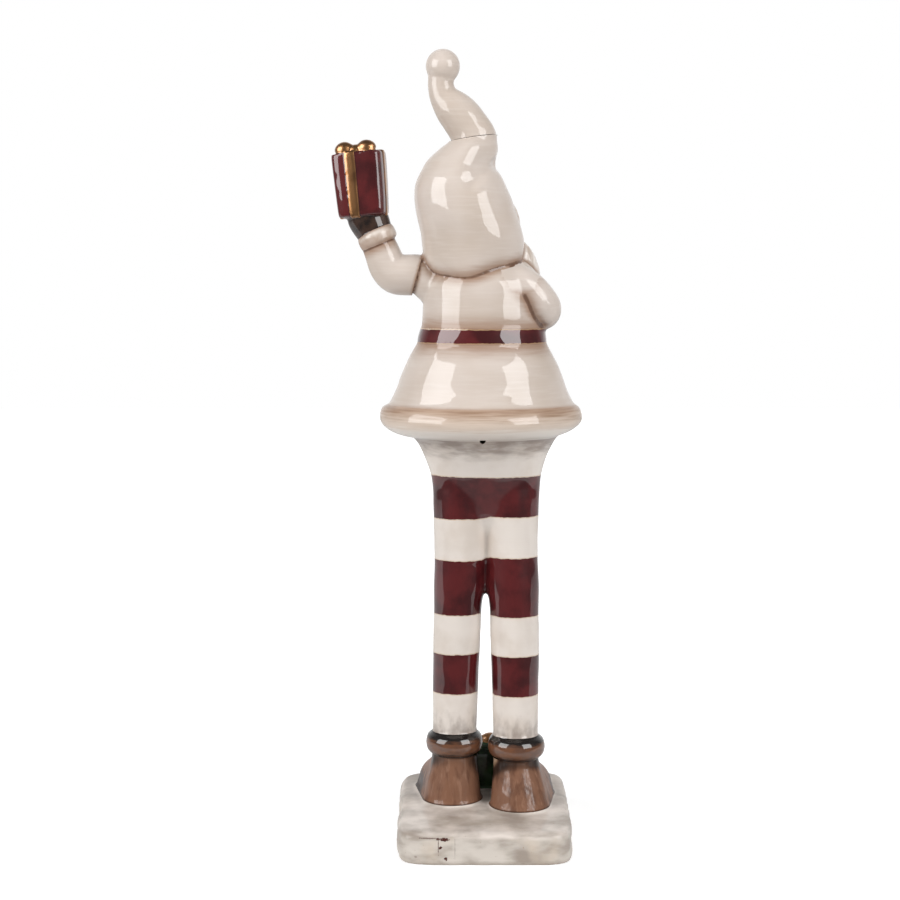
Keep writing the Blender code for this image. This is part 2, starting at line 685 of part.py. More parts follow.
def figure_body():
    """The main casting, from the plinth to the joint face of the hat."""
    body = trunk("figure_body", 0.0, BODY_FACETS)
    solids = [hood("hood", 0.0, HOOD_FACETS), shoulder_stub(), beard(), brim()]
    solids += face() + right_arm() + front_trim()
    for side in (-1, 1):
        solids += [leg("leg", side, 0.0, LEG_FACETS), boot("boot", side, 0.0, LEG_FACETS),
                   boot_cuff("boot_cuff", side)]
    floor_place = Matrix.Translation((HIP_X, -FLOOR_GIFT_FORWARD, PLINTH_HEIGHT - PLINTH_EDGE / 2))
    solids += gift("floor_gift", FLOOR_GIFT_WIDTH, FLOOR_GIFT_DEPTH, FLOOR_GIFT_HEIGHT, 1.0, floor_place)
    solids.append(plinth("plinth", 0.0, BODY_FACETS))
    join(body, solids)
    seam = Vector((HAT_NECK_X, HOOD_Y, HAT_SEAM))
    cuts = [half_space("seam_cut", seam, seam_normal(), 4 * HAT_NECK_RADIUS), cavity()] + holes()
    return change(body, "DIFFERENCE", cuts)


def raised_arm():
    """The stuck-on casting: sleeve, fur cuff, mitten and the gift that it holds."""
    normal = shoulder_normal()
    start = shoulder_point() + normal * SEAM_GAP
    elbow = start + Vector((ELBOW_OUT, 0, 0))
    wrist = elbow + Vector((FOREARM_LEAN, 0, FOREARM_HEIGHT))
    ahead = (wrist - elbow).normalized()
    arm = tube("raised_arm", [(*start, SLEEVE_RADIUS + SEAM_STEP), (*elbow, SLEEVE_RADIUS)],
               ARM_FACETS, 1.0, normal)
    fore = tube("left_forearm", [(*elbow, SLEEVE_RADIUS * 0.96), (*wrist, WRIST_RADIUS)], ARM_FACETS)
    hand = wrist + ahead * FUR_CUFF_LENGTH * 0.5
    solids = [ball("left_elbow", elbow, (SLEEVE_RADIUS * 1.01,) * 3, ARM_FACETS), fore,
              fur_cuff("left_cuff", wrist, ahead)]
    solids += mitten("left_mitten", hand, ahead, Vector((0, -1, 0)))
    tip = hand + ahead * MITTEN_RADIUS * 0.95
    place = Matrix.Translation(tip) @ Matrix.Rotation(math.radians(GIFT_LEAN), 4, "Y")
    place = place @ Matrix.Rotation(math.radians(GIFT_TURN), 4, "Z")
    solids += gift("held_gift", GIFT_WIDTH, GIFT_DEPTH, GIFT_HEIGHT, GIFT_TAPER, place)
    return join(arm, solids)


def hat_tip():
    """The stuck-on casting that curls up from the hood's neck to the bobble."""
    normal = seam_normal()
    start = Vector((HAT_NECK_X, HOOD_Y, HAT_SEAM)) + normal * SEAM_GAP
    rows = [(*(start - normal * WALL), HAT_NECK_RADIUS + SEAM_STEP), (*start, HAT_NECK_RADIUS + SEAM_STEP)]
    for across, up, radius in ((0.20, 0.13, 1.0), (0.46, 0.25, 1.02), (0.75, 0.36, 0.90), (0.98, 0.47, 0.70)):
        point = start + Vector((TIP_REACH * across, 0, TIP_HEIGHT * up))
        rows.append((*point, TIP_SWELL_RADIUS * radius))
    end = start + Vector((TIP_REACH * 1.06, 0, TIP_HEIGHT * 0.59))
    bobble = start + Vector((TIP_REACH, 0, TIP_HEIGHT - BOBBLE_RADIUS))
    rows.append((*end, TIP_END_RADIUS))
    rows.append((*end.lerp(bobble, 0.5), TIP_END_RADIUS * 1.05))
    tip = tube("hat_tip", along_curve(rows, 2), 24, HOOD_FLATNESS, normal)
    join(tip, [ball("bobble", bobble, (BOBBLE_RADIUS,) * 3, 18)])
    return change(tip, "DIFFERENCE", [half_space("tip_cut", start, -normal, 4 * HAT_NECK_RADIUS)])


def main():
    clear_scene()
    cream = glaze("cream_glaze", (0.72, 0.64, 0.55), 0.18)
    white = glaze("white_glaze", (0.80, 0.76, 0.70), 0.18)
    for item, material in ((figure_body(), cream), (raised_arm(), cream), (hat_tip(), white)):
        finish(item, material)


main()
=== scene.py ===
# %% [markdown]
# # A ceramic Santa on long striped legs
# The real figure is slip-cast earthenware. Liquid clay was poured into plaster moulds, the three castings
# were stuck together, the surface was painted by hand, and a clear glossy glaze went over everything.
# This lesson follows the same order: shape the wet clay, let it soften, cut the joints, paint, glaze, and
# then light it as in a product photo. Sizes in the shaping cells are in millimetres.

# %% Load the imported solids
import math

import bmesh
import bpy
import numpy as np
from mathutils import Matrix, Vector, noise
from mathutils.bvhtree import BVHTree


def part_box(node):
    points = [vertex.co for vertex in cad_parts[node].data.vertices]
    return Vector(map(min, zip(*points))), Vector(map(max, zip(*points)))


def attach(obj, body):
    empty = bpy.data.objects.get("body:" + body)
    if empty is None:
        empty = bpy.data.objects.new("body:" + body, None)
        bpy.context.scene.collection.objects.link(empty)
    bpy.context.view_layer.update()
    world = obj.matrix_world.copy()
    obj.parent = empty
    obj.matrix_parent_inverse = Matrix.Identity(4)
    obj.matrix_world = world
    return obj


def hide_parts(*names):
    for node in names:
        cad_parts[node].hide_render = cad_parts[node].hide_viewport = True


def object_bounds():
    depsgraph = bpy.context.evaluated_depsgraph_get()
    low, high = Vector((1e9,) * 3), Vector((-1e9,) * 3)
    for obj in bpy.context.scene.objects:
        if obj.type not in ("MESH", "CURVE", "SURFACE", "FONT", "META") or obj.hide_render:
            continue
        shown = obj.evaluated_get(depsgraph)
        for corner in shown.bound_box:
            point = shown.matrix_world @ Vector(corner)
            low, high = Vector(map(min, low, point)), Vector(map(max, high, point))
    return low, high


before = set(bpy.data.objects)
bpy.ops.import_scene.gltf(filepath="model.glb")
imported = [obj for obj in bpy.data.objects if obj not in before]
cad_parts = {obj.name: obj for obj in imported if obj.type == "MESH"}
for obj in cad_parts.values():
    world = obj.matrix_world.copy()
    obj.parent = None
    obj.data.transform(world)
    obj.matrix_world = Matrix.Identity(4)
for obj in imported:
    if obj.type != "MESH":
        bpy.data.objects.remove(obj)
CAD_BOX = [[float(value) for value in corner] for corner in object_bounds()]
MM = 0.001
print("solids:", sorted(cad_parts), "box:", CAD_BOX)

# %% [markdown]
# ## Rings and rows
# Clay forms are round, so each one is a stack of rings with a skin over it. A few listed rows give
# the main sizes, and a Catmull-Rom curve fills in the rows between them, as a potter's template does.


# %% Rings, rows and skins
def ring(center, across, along, facets=48, squareness=2.0):
    """Points of an oval, or of a rounded rectangle when the squareness is high."""
    angle = np.arange(facets) * 2 * np.pi / facets
    c, s = np.cos(angle), np.sin(angle)
    u = np.copysign(np.abs(c) ** (2 / squareness), c)
    v = np.copysign(np.abs(s) ** (2 / squareness), s)
    return np.asarray(center, float) + np.outer(u, across) + np.outer(v, along)


def filled_rows(rows, steps=4):
    """The given rows with smooth ones between them."""
    rows = np.array(rows, float)
    ends = np.vstack([rows[:1], rows, rows[-1:]])
    out = []
    for a, b, c, d in zip(ends, ends[1:], ends[2:], ends[3:]):
        for t in np.arange(steps) / steps:
            out.append(b + 0.5 * t * (c - a + t * (2 * a - 5 * b + 4 * c - d + t * (3 * (b - c) + d - a))))
    out.append(rows[-1])
    return np.array(out)


def skin(rings):
    """One closed form: its points in millimetres, and its faces."""
    count = len(rings[0])
    faces = []
    for k in range(len(rings) - 1):
        low, high = k * count, (k + 1) * count
        for i in range(count):
            j = (i + 1) % count
            faces.append((low + i, low + j, high + j, high + i))
    top = (len(rings) - 1) * count
    faces.append(tuple(reversed(range(count))))
    faces.append(tuple(range(top, top + count)))
    return np.vstack(rings), faces


# %% [markdown]
# Three more shapes cover everything else: a limb that follows a bent path, a ball, and a form that is
# moved into place. A limb carries its side direction along the path, so that it never twists.


# %% Limbs, balls and moves
def limb(rows, facets=32, flatness=1.0, side=(0, 1, 0), steps=4):
    """A round limb along rows of x, y, z and radius."""
    rows = filled_rows(rows, steps)
    heading = np.gradient(rows[:, :3], axis=0)
    side = np.array(side, float)
    rings = []
    for row, ahead in zip(rows, heading):
        ahead = ahead / np.linalg.norm(ahead)
        side = side - ahead * side.dot(ahead)
        side = side / np.linalg.norm(side)
        rings.append(ring(row[:3], side * row[3] * flatness, np.cross(ahead, side) * row[3], facets))
    return skin(rings)


NEAR_POLE = 0.497  # in half turns: at 0.5 the ring would shrink to a point


def ball(center, half, facets=28):
    """An ellipsoid with three half sizes."""
    rings = []
    for angle in np.linspace(-NEAR_POLE, NEAR_POLE, facets // 2) * np.pi:
        middle = np.add(center, (0, 0, half[2] * np.sin(angle)))
        width = np.cos(angle)
        rings.append(ring(middle, (half[0] * width, 0, 0), (0, half[1] * width, 0), facets))
    return skin(rings)


def moved(form, place):
    """The form after a move, given as a Blender matrix in millimetres."""
    points, faces = form
    turn = np.array(place.to_3x3())
    return points @ turn.T + np.array(place.translation), faces


# %% [markdown]
# ## The plinth
# The slab underfoot was smoothed with a wet sponge, so none of its edges is sharp or quite straight. A
# rounded rectangle with large soft edges is the start, and the lumps come later, with the whole casting.

# %% Plinth
figure_forms = []
plinth_low, plinth_high = (np.array(corner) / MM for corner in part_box("figure_body"))
PLINTH_WIDTH, PLINTH_DEPTH, PLINTH_HEIGHT = 87.6, plinth_high[1] - plinth_low[1], 15.5
PLINTH_SQUARENESS = 9.0
PLINTH_EDGES = (  # height, and how far the outline is drawn in
    (0.0, 2.6), (0.6, 1.0), (2.4, 0.15), (11.8, 0.0), (14.0, 0.5), (15.2, 1.6), (15.7, 3.6))


def plinth():
    rings = []
    for z, back in filled_rows(PLINTH_EDGES):
        across = (PLINTH_WIDTH / 2 - back, 0, 0)
        rings.append(ring((0, 0, z), across, (0, PLINTH_DEPTH / 2 - back, 0), 96, PLINTH_SQUARENESS))
    return skin(rings)


figure_forms.append(("plinth", "stone", plinth()))
print("plinth:", PLINTH_WIDTH, "x", round(PLINTH_DEPTH, 1), "x", PLINTH_HEIGHT, "mm")

# %% [markdown]
# ## Boots
# Each boot is a heel circle and a smaller toe circle with a belt drawn round them, and the outline shrinks
# towards the ankle. The toes turn out. A thick rolled band closes each boot at the top.

# %% Boots
HEELS = {1: (16.6, -7.0), -1: (-18.2, 4.6)}
ANKLES = {1: (15.4, -7.0), -1: (-16.6, 1.0)}
TOE_SPLAY = 14.0
TOE_REACH, TOE_RADIUS, HEEL_RADIUS = 22.0, 13.0, 15.3
BOOT_LEVELS = (  # height, and shares of the reach, the toe, the heel and the way to the ankle
    (14.0, 0.97, 0.96, 0.96, 0.0), (17.0, 1.00, 1.00, 0.98, 0.0), (19.5, 0.99, 0.98, 0.94, 0.1),
    (24.8, 0.96, 0.92, 0.89, 0.3), (28.0, 0.90, 0.85, 0.85, 0.5), (31.0, 0.72, 0.80, 0.81, 0.65),
    (34.0, 0.45, 0.78, 0.775, 0.8), (37.5, 0.16, 0.82, 0.745, 1.0), (45.0, 0.0, 0.84, 0.72, 1.0))
BAND_LEVELS = (  # height and radius
    (41.6, 11.6), (42.2, 13.2), (44.2, 14.2), (46.8, 14.5), (49.2, 14.1), (51.0, 13.1), (51.7, 11.4))


def boot(side):
    turn = math.radians(-90 + side * TOE_SPLAY)
    ahead = np.array((math.cos(turn), math.sin(turn), 0))
    across = np.array((-ahead[1], ahead[0], 0))
    facets = 64
    angle = (np.arange(facets) + 0.5) * 2 * np.pi / facets - np.pi / 2
    front = (np.arange(facets) < facets // 2)[:, None]
    rings = []
    for z, reach, toe, heel, shift in filled_rows(BOOT_LEVELS):
        middle = np.array((*np.array(HEELS[side]) * (1 - shift) + np.array(ANKLES[side]) * shift, z))
        radius = np.where(front, toe * TOE_RADIUS, heel * HEEL_RADIUS)
        start = middle + np.where(front, ahead * reach * TOE_REACH, 0.0)
        rings.append(start + radius * (np.outer(np.cos(angle), ahead) + np.outer(np.sin(angle), across)))
    return skin(rings)


def boot_band(side):
    rings = []
    for z, radius in filled_rows(BAND_LEVELS):
        rings.append(ring((*ANKLES[side], z), (radius, 0, 0), (0, radius, 0)))
    return skin(rings)


for side in (1, -1):
    figure_forms.append((f"boot{side}", "boot", boot(side)))
    figure_forms.append((f"boot_band{side}", "band", boot_band(side)))
print("boots:", 2)

# %% [markdown]
# ## Legs and hips
# The legs are straight rods that lean together and grow into one form at the seat. The seat's outline is
# the outer edge of an oval and two circles side by side, and the circles fade out below the hem.

# %% Legs and hips
LEG_FLATNESS, HIP_X, COAT_Y = 0.92, -0.6, -3.0
LEG_FOOT, LEG_RUN = 51.5, 100.0  # a leg slants from its ankle to below the coat's middle over this run
LEG_LEVELS = {  # height, middle and radius of each leg
    1: ((14.0, 15.4, 11.0), (51.5, 15.3, 11.0), (90.0, 14.5, 11.7), (114.0, 13.9, 11.9),
        (122.0, 13.5, 12.4), (130.0, 12.9, 13.0), (146.0, 12.5, 12.8), (168.0, 12.5, 13.4),
        (180.0, 12.4, 13.3), (190.0, 12.0, 12.0)),
    -1: ((14.0, -16.3, 11.2), (51.5, -16.2, 11.3), (90.0, -15.7, 12.0), (114.0, -15.4, 12.2),
         (122.0, -15.0, 12.6), (130.0, -14.4, 13.2), (146.0, -14.0, 12.9), (168.0, -13.9, 13.5),
         (180.0, -13.8, 13.4), (190.0, -13.2, 12.0))}
HIP_LEVELS = (  # height, middle, half width, half depth, circle's radius
    (142.4, -0.6, 18.8, 1.6, 12.8), (158.7, -0.8, 22.6, 6.0, 12.8), (168.0, -0.9, 24.6, 10.5, 13.0),
    (178.1, -0.8, 26.0, 13.5, 12.9), (187.5, -0.7, 27.8, 17.3, 12.4), (196.9, -0.4, 31.0, 23.0, 11.0),
    (203.5, -0.4, 34.3, 27.6, 6.0), (208.0, 0.3, 37.8, 31.0, 3.0), (212.0, 1.9, 40.0, 33.0, 1.0))
LOBE_SPREAD = 0.99  # how far the two circles stand apart, as a share of their radius
BLEND = 18.0  # how crisply oval and circles meet


def leg(side, inset=0.0, facets=48):
    rings = []
    for z, x, radius in filled_rows(LEG_LEVELS[side], 6):
        share = min(max((z - LEG_FOOT) / LEG_RUN, 0.0), 1.0)
        y = ANKLES[side][1] * (1 - share) + COAT_Y * share
        radius -= inset
        rings.append(ring((x, y, z), (radius, 0, 0), (0, radius * LEG_FLATNESS, 0), facets))
    return skin(rings)


def hips(levels=HIP_LEVELS, inset=0.0, facets=96):
    angle = np.arange(facets) * 2 * np.pi / facets
    c, s = np.cos(angle), np.sin(angle)
    rings = []
    for z, x, half_width, half_depth, lobe in filled_rows(levels, 6):
        reach = 1 / np.hypot(c / half_width, s / half_depth)
        a = (c / lobe) ** 2 + (s / (lobe * LEG_FLATNESS)) ** 2
        b = np.abs(c) * LOBE_SPREAD / lobe
        circles = (b + np.sqrt(np.maximum(b * b - a * (LOBE_SPREAD ** 2 - 1), 0))) / a
        reach = (reach ** BLEND + circles ** BLEND) ** (1 / BLEND) - inset
        rings.append(np.column_stack((x + reach * c, COAT_Y + reach * s, np.full(facets, z))))
    return skin(rings)


figure_forms.append(("hips", "stocking", hips()))
for side in (1, -1):
    figure_forms.append((f"leg{side}", "stocking", leg(side)))
print("legs:", 2)

# %% [markdown]
# ## Coat
# Hem, skirt, belt and chest are turned on one axis and pressed a little flat. They are separate forms, so
# that a real crease is left where they meet and the brown wash can gather in it later.

# %% Coat
COAT_FLATNESS, COAT_SHIFT = 0.84, -0.35
HEM_LEVELS = (  # height, middle, half width and half depth
    (207.0, 2.2, 36.5, 31.0), (207.6, 2.3, 40.0, 34.6), (209.4, 2.6, 45.2, 39.4), (212.2, 2.6, 49.2, 42.5),
    (215.0, 2.3, 51.0, 43.3), (217.0, 2.4, 51.1, 42.9), (218.8, 2.5, 50.8, 42.1), (220.6, 2.5, 49.9, 41.1),
    (221.8, 2.5, 48.8, 40.4), (222.3, 2.4, 44.0, 37.0))
SKIRT_LEVELS = (  # height, middle and half width, here and below
    (215.0, 2.1, 46.6), (221.6, 2.1, 47.0), (225.2, 2.1, 45.3), (231.1, 2.05, 42.5), (237.2, 2.05, 40.4),
    (243.3, 2.0, 38.0), (249.2, 2.0, 34.9), (252.4, 1.9, 33.1), (254.8, 1.8, 32.0), (258.0, 1.8, 30.4))
BELT_LEVELS = (
    (254.1, 1.8, 31.6), (254.5, 1.8, 32.5), (256.0, 1.8, 32.4), (259.4, 1.6, 31.6), (260.8, 1.5, 31.3),
    (261.2, 1.4, 30.4))
CHEST_LEVELS = (
    (256.0, 1.4, 30.0), (261.5, 1.2, 30.8), (268.0, 1.0, 30.6), (276.0, 1.0, 30.2), (283.8, 1.0, 29.3),
    (288.0, 1.0, 27.0), (292.5, 1.0, 23.0), (296.5, 1.0, 16.5), (298.0, 1.0, 9.0))


def turned(levels, y=COAT_Y, flatness=COAT_FLATNESS, facets=96):
    rings = []
    for z, x, half_width, *depth in filled_rows(levels):
        half_depth = depth[0] if depth else half_width * flatness
        rings.append(ring((x + COAT_SHIFT, y, z), (half_width, 0, 0), (0, half_depth, 0), facets))
    return skin(rings)


for name, paint, levels in (("hem", "hem", HEM_LEVELS), ("skirt", "coat", SKIRT_LEVELS),
                            ("belt", "belt", BELT_LEVELS), ("chest", "coat", CHEST_LEVELS)):
    figure_forms.append((name, paint, turned(levels)))
print("coat forms:", 4)

# %% [markdown]
# ## Hood
# The head is a tall dome, and a cone leans over it and folds: that leaves the notch that the photo shows on
# one side. The cone ends in the flat joint that the curled tip is stuck to.

# %% Hood
HOOD_Y, HOOD_FLATNESS = 0.0, 0.95
DOME_LEVELS = (  # height, middle, half width and half depth
    (286.5, 8.4, 8.0, 18.9), (287.4, 8.3, 13.5, 20.2), (289.7, 7.9, 18.8, 20.8), (295.2, 6.7, 23.9, 21.5),
    (303.4, 6.6, 25.3, 22.4), (309.4, 7.4, 25.2, 23.3), (315.4, 9.0, 25.0, 24.0), (321.3, 10.5, 24.5, 23.9),
    (327.3, 11.8, 23.8, 23.2), (333.2, 13.0, 22.0, 21.8), (339.1, 13.3, 19.2, 19.2),
    (342.4, 13.7, 16.6, 16.2), (345.0, 14.1, 12.6, 12.0), (346.4, 14.3, 6.0, 5.7))
CONE_LEVELS = (  # height, middle and half width
    (326.0, 15.0, 16.0), (334.0, 14.6, 17.2), (339.1, 13.8, 18.0), (342.1, 13.2, 17.9), (345.1, 12.1, 16.9),
    (348.0, 10.3, 15.6), (351.0, 8.3, 14.1), (353.9, 6.5, 11.9), (357.0, 6.0, 11.2), (366.0, 5.8, 11.3))


figure_forms.append(("dome", "hood", turned(DOME_LEVELS, HOOD_Y)))
figure_forms.append(("cone", "hood", turned(CONE_LEVELS, HOOD_Y, HOOD_FLATNESS)))
print("hood forms:", 2)

# %% [markdown]
# ## Face and beard
# The photo shows only the back, so the front is a plain face of this kind of ornament: a round nose, a
# parted moustache and a full beard. The head turns a little, because the edge of the beard shows from
# behind on one side only.

# %% Face and beard
HEAD_TURN = math.radians(22.0)
AHEAD = np.array((-math.sin(HEAD_TURN), -math.cos(HEAD_TURN), 0.0))
ACROSS = np.array((-math.cos(HEAD_TURN), math.sin(HEAD_TURN), 0.0))
UP = np.array((0.0, 0.0, 1.0))
FACE_LEVEL, FACE_FORWARD, FACE_RADIUS = 312.4, 15.2, 15.0
FACE_HALF_SIZES = (15.0, 13.2, 15.7)
NOSE_FORWARD, NOSE_DROP, NOSE_HALF_SIZES = 13.8, 1.2, (3.7, 3.7, 3.5)
MOUSTACHE_REACH = 13.0
MOUSTACHE = ((0.0, 4.6, 3.0), (0.35, 5.4, 4.2), (0.7, 7.2, 3.4), (1.0, 6.2, 1.2))  # share, drop, radius
BRIM_FORWARD, BRIM_RADIUS, BRIM_THICKNESS, BRIM_TALL = 20.6, 14.8, 3.6, 1.05
BEARD_LEVELS = (  # height, how far out, half width, half thickness, swing
    (308.8, 14.4, 16.6, 6.0, 0.0), (302.8, 15.8, 22.2, 8.2, 1.9), (294.8, 18.0, 24.4, 10.4, 3.6),
    (286.8, 20.2, 24.8, 11.0, 4.2), (277.8, 22.0, 20.7, 11.0, 4.5), (268.8, 23.4, 12.6, 9.4, 4.5),
    (262.3, 24.5, 6.3, 6.6, 4.5), (258.8, 24.8, 2.5, 3.3, 4.5))
hood_axis = np.array((7.1, HOOD_Y, 0.0))
face_middle = hood_axis + AHEAD * FACE_FORWARD + UP * FACE_LEVEL


def turned_ball(center, half):
    place = Matrix.Translation(Vector(center)) @ Matrix.Rotation(-HEAD_TURN, 4, "Z")
    return moved(ball((0, 0, 0), half), place)


def beard():
    rings = []
    for z, out, width, thick, swing in filled_rows(BEARD_LEVELS):
        middle = hood_axis + AHEAD * out + UP * z - np.array((swing, 0, 0))
        rings.append(ring(middle, ACROSS * width, AHEAD * thick, 64))
    return skin(rings)


def moustache(side):
    rows = []
    for share, drop, radius in MOUSTACHE:
        point = face_middle + ACROSS * side * MOUSTACHE_REACH * share - UP * drop
        point = point + AHEAD * FACE_RADIUS * (0.88 - 0.22 * share)
        rows.append((*point, radius))
    return limb(rows, 20, side=(0, 0, 1))


def brim():
    center = hood_axis + AHEAD * BRIM_FORWARD + UP * FACE_LEVEL
    facets, sides = 72, 20
    points, faces = [], []
    for i in range(facets):
        angle = 2 * math.pi * i / facets
        out = ACROSS * math.cos(angle) + UP * BRIM_TALL * math.sin(angle)
        points.append(ring(center + out * BRIM_RADIUS, out * BRIM_THICKNESS, AHEAD * BRIM_THICKNESS, sides))
        for k in range(sides):
            low, high = i * sides, (i + 1) % facets * sides
            faces.append((low + k, low + (k + 1) % sides, high + (k + 1) % sides, high + k))
    return np.vstack(points), faces


nose_middle = face_middle + AHEAD * NOSE_FORWARD - UP * NOSE_DROP
figure_forms.append(("face", "skin", turned_ball(face_middle, FACE_HALF_SIZES)))
figure_forms.append(("nose", "nose", ball(nose_middle, NOSE_HALF_SIZES, 20)))
figure_forms.append(("brim", "fur", brim()))
figure_forms.append(("beard", "beard", beard()))
for side in (1, -1):
    figure_forms.append((f"moustache{side}", "beard", moustache(side)))
print("face middle:", face_middle.round(1))

# %% [markdown]
# ## The arm that hangs down
# A sleeve bends at the elbow and reaches round to the belly, where a fur band and a mitten hide its end.
# In a voxel model a bent tube may run into itself without harm, so one limb does for both halves.

# %% Right arm
RIGHT_SLEEVE = (  # x, y, z and radius, from the shoulder to the wrist
    (-5.0, 4.0, 286.5, 9.0), (-10.5, 6.0, 285.6, 9.4), (-16.4, 7.2, 283.4, 9.7), (-22.8, 6.8, 278.6, 9.6),
    (-28.0, 4.6, 272.0, 9.7), (-28.6, -5.0, 269.8, 9.3), (-26.8, -14.0, 269.0, 8.7),
    (-25.0, -22.0, 268.3, 8.5))
BAND_ROWS = ((-0.5, 0.80), (-0.36, 0.96), (0.0, 1.0), (0.36, 0.96), (0.5, 0.80))  # along, size
HAND_ROWS = ((-0.4, 0.8), (0.3, 0.98), (1.0, 1.02), (1.6, 0.80), (1.9, 0.5), (2.0, 0.2))  # ahead, size
THUMB_ROWS = ((0.1, 0.3, 0.42), (0.7, 0.8, 0.42), (1.2, 0.92, 0.36), (1.4, 0.94, 0.16))  # ahead, up, size
MITTEN_SIZE = 9.6
right_wrist = np.array((-25.0, -21.0, 268.4))
right_ahead = np.array((0.185, -0.973, -0.139))
mitten_ahead = np.array((0.60, -0.79, -0.11))


def fur_band(middle, ahead, radius, length, side=(0, 0, 1)):
    rows = [(*(middle + ahead * length * share), radius * size) for share, size in BAND_ROWS]
    return limb(rows, 40, side=side)


def mitten(start, ahead, up):
    """A hand and its thumb."""
    ahead, up = ahead * MITTEN_SIZE, up * MITTEN_SIZE
    hand = [(*(start + ahead * share), MITTEN_SIZE * size) for share, size in HAND_ROWS]
    thumb = [(*(start + ahead * share + up * out), MITTEN_SIZE * size) for share, out, size in THUMB_ROWS]
    return limb(hand, 40, 0.8, side=up), limb(thumb, 20)


figure_forms.append(("right_sleeve", "sleeve", limb(RIGHT_SLEEVE, 40)))
figure_forms.append(("right_band", "fur", fur_band(right_wrist, right_ahead, 9.7, 8.0)))
hand, thumb = mitten(right_wrist + mitten_ahead * 4.2, mitten_ahead, UP)
figure_forms += [("right_hand", "mitten", hand), ("right_thumb", "mitten", thumb)]
print("right arm forms:", 4)

# %% [markdown]
# ## Shoulder, placket and buckle
# The other shoulder ends in a flat joint for the raised arm. A fur placket runs down the front of the
# skirt, and a square buckle sits on the belt above it.

# %% Shoulder, placket and buckle
SHOULDER = np.array((33.5, -3.0, 288.4))
SHOULDER_NORMAL = np.array((0.961, 0.0, 0.276))
SLEEVE_RADIUS, SEAM_STEP, SEAM_GAP = 9.8, 0.4, 0.3
SHOULDER_ROWS = (  # how far along the joint's normal, how far down, and how much wider than the joint
    (-20, 5, 2.5), (-12, 3.2, 2.2), (-6, 1.4, 1.1), (-2, 0.3, 0.2), (3, 0, 0))
PLACKET_TOP, PLACKET_WIDTH = 257, 4.8
PLACKET_ON_HEM = ((219.0, 2.5, 50.4), (221.6, 2.4, 48.6))
BUCKLE_X, BUCKLE_HEIGHT, BUCKLE_SHAPE = 1.8, 257.65, 0.78
BUCKLE_ROWS = (  # y and half width: up the outside, over the face, and back down inside
    (-26.0, 6.6), (-31.2, 6.6), (-31.9, 6.2), (-31.9, 4.4), (-31.2, 4.0), (-31.1, 2.0))
shoulder_rows = [(*(SHOULDER + SHOULDER_NORMAL * along - UP * drop), SLEEVE_RADIUS - SEAM_STEP + wider)
                 for along, drop, wider in SHOULDER_ROWS]
placket_rows = [(x, COAT_Y - half_width * COAT_FLATNESS, z, PLACKET_WIDTH)
                for z, x, half_width in SKIRT_LEVELS[2:] + PLACKET_ON_HEM if z < PLACKET_TOP]
placket_rows.sort(key=lambda row: row[2])
buckle_rings = [ring((BUCKLE_X, y, BUCKLE_HEIGHT), (size, 0, 0), (0, 0, size * BUCKLE_SHAPE), 48, 7.0)
                for y, size in BUCKLE_ROWS]
figure_forms.append(("shoulder", "coat", limb(shoulder_rows, 48)))
figure_forms.append(("placket", "fur", limb(placket_rows, 32, 0.45)))
figure_forms.append(("buckle", "gold", skin(buckle_rings)))
print("placket points:", len(placket_rows))

# %% [markdown]
# ## Wrapped gifts
# A gift is a soft block with two ribbons and a bow of two loops. The same function makes the large one in
# the raised hand and the small one on the plinth, of which only a green corner shows between the boots.


# %% Gifts
def soft_block(half_width, half_depth, height, taper, edge, squareness):
    levels = ((0.0, edge), (edge * 0.3, edge * 0.35), (edge, 0.0), (height - edge, 0.0),
              (height - edge * 0.3, edge * 0.35), (height, edge))
    rings = []
    for z, back in filled_rows(levels):
        size = taper + (1 - taper) * z / height
        across = (half_width * size - back, 0, 0)
        rings.append(ring((0, 0, z), across, (0, half_depth * size - back, 0), 96, squareness))
    return skin(rings)


RIBBON_PROUD = 0.5
BOW_LOOP = (  # out, back, up and radius along one loop of the bow
    (0.2, 0, 0.3, 2.0), (2.8, 0.6, 0.9, 3.0), (5.4, 0.9, 1.4, 3.8), (7.8, 0.8, 0.8, 3.3),
    (9.2, 0.6, 0.0, 1.9))
KNOT_HALF_SIZES = (3.2, 3.6, 3.0)


def gift(name, wrap, size, taper, squareness, ribbon, ribbon_x, bow, place):
    """Block, two ribbons and a bow, as (name, paint, form)."""
    width, depth, height = size
    out = [(name, wrap, soft_block(width / 2, depth / 2, height, taper, 3.0, squareness))]
    for part, half_width, half_depth, x in (("over", ribbon, depth / 2 + RIBBON_PROUD, ribbon_x),
                                            ("side", width / 2 + RIBBON_PROUD, ribbon, 0.0)):
        form = soft_block(half_width, half_depth, height + RIBBON_PROUD, taper, 2.6, 12.0)
        out.append((f"{name}_{part}", "gold", moved(form, Matrix.Translation((x, 0, -RIBBON_PROUD / 2)))))
    for side in (-1, 1):
        loop = [(bow[0] + side * x, y + bow[1], height + z, radius) for x, y, z, radius in BOW_LOOP]
        out.append((f"{name}_loop{side}", "gold", limb(loop, 28)))
    out.append((f"{name}_knot", "gold", ball((bow[0], bow[1] + 0.8, height + 0.4), KNOT_HALF_SIZES, 20)))
    return [(form_name, paint, moved(form, place)) for form_name, paint, form in out]


floor_place = Matrix.Translation((HIP_X, -32.0, PLINTH_HEIGHT - 1.2))
figure_forms += gift("floor_gift", "green", (24.0, 18.0, 25.0), 1.0, 5.0, 2.3, 7.5, (2.5, 0.0), floor_place)
print("forms in the main casting:", len(figure_forms))

# %% [markdown]
# ## The raised arm
# This casting starts at its own joint face, bends up at the elbow, and ends in a mitten that grips the
# large gift from below.

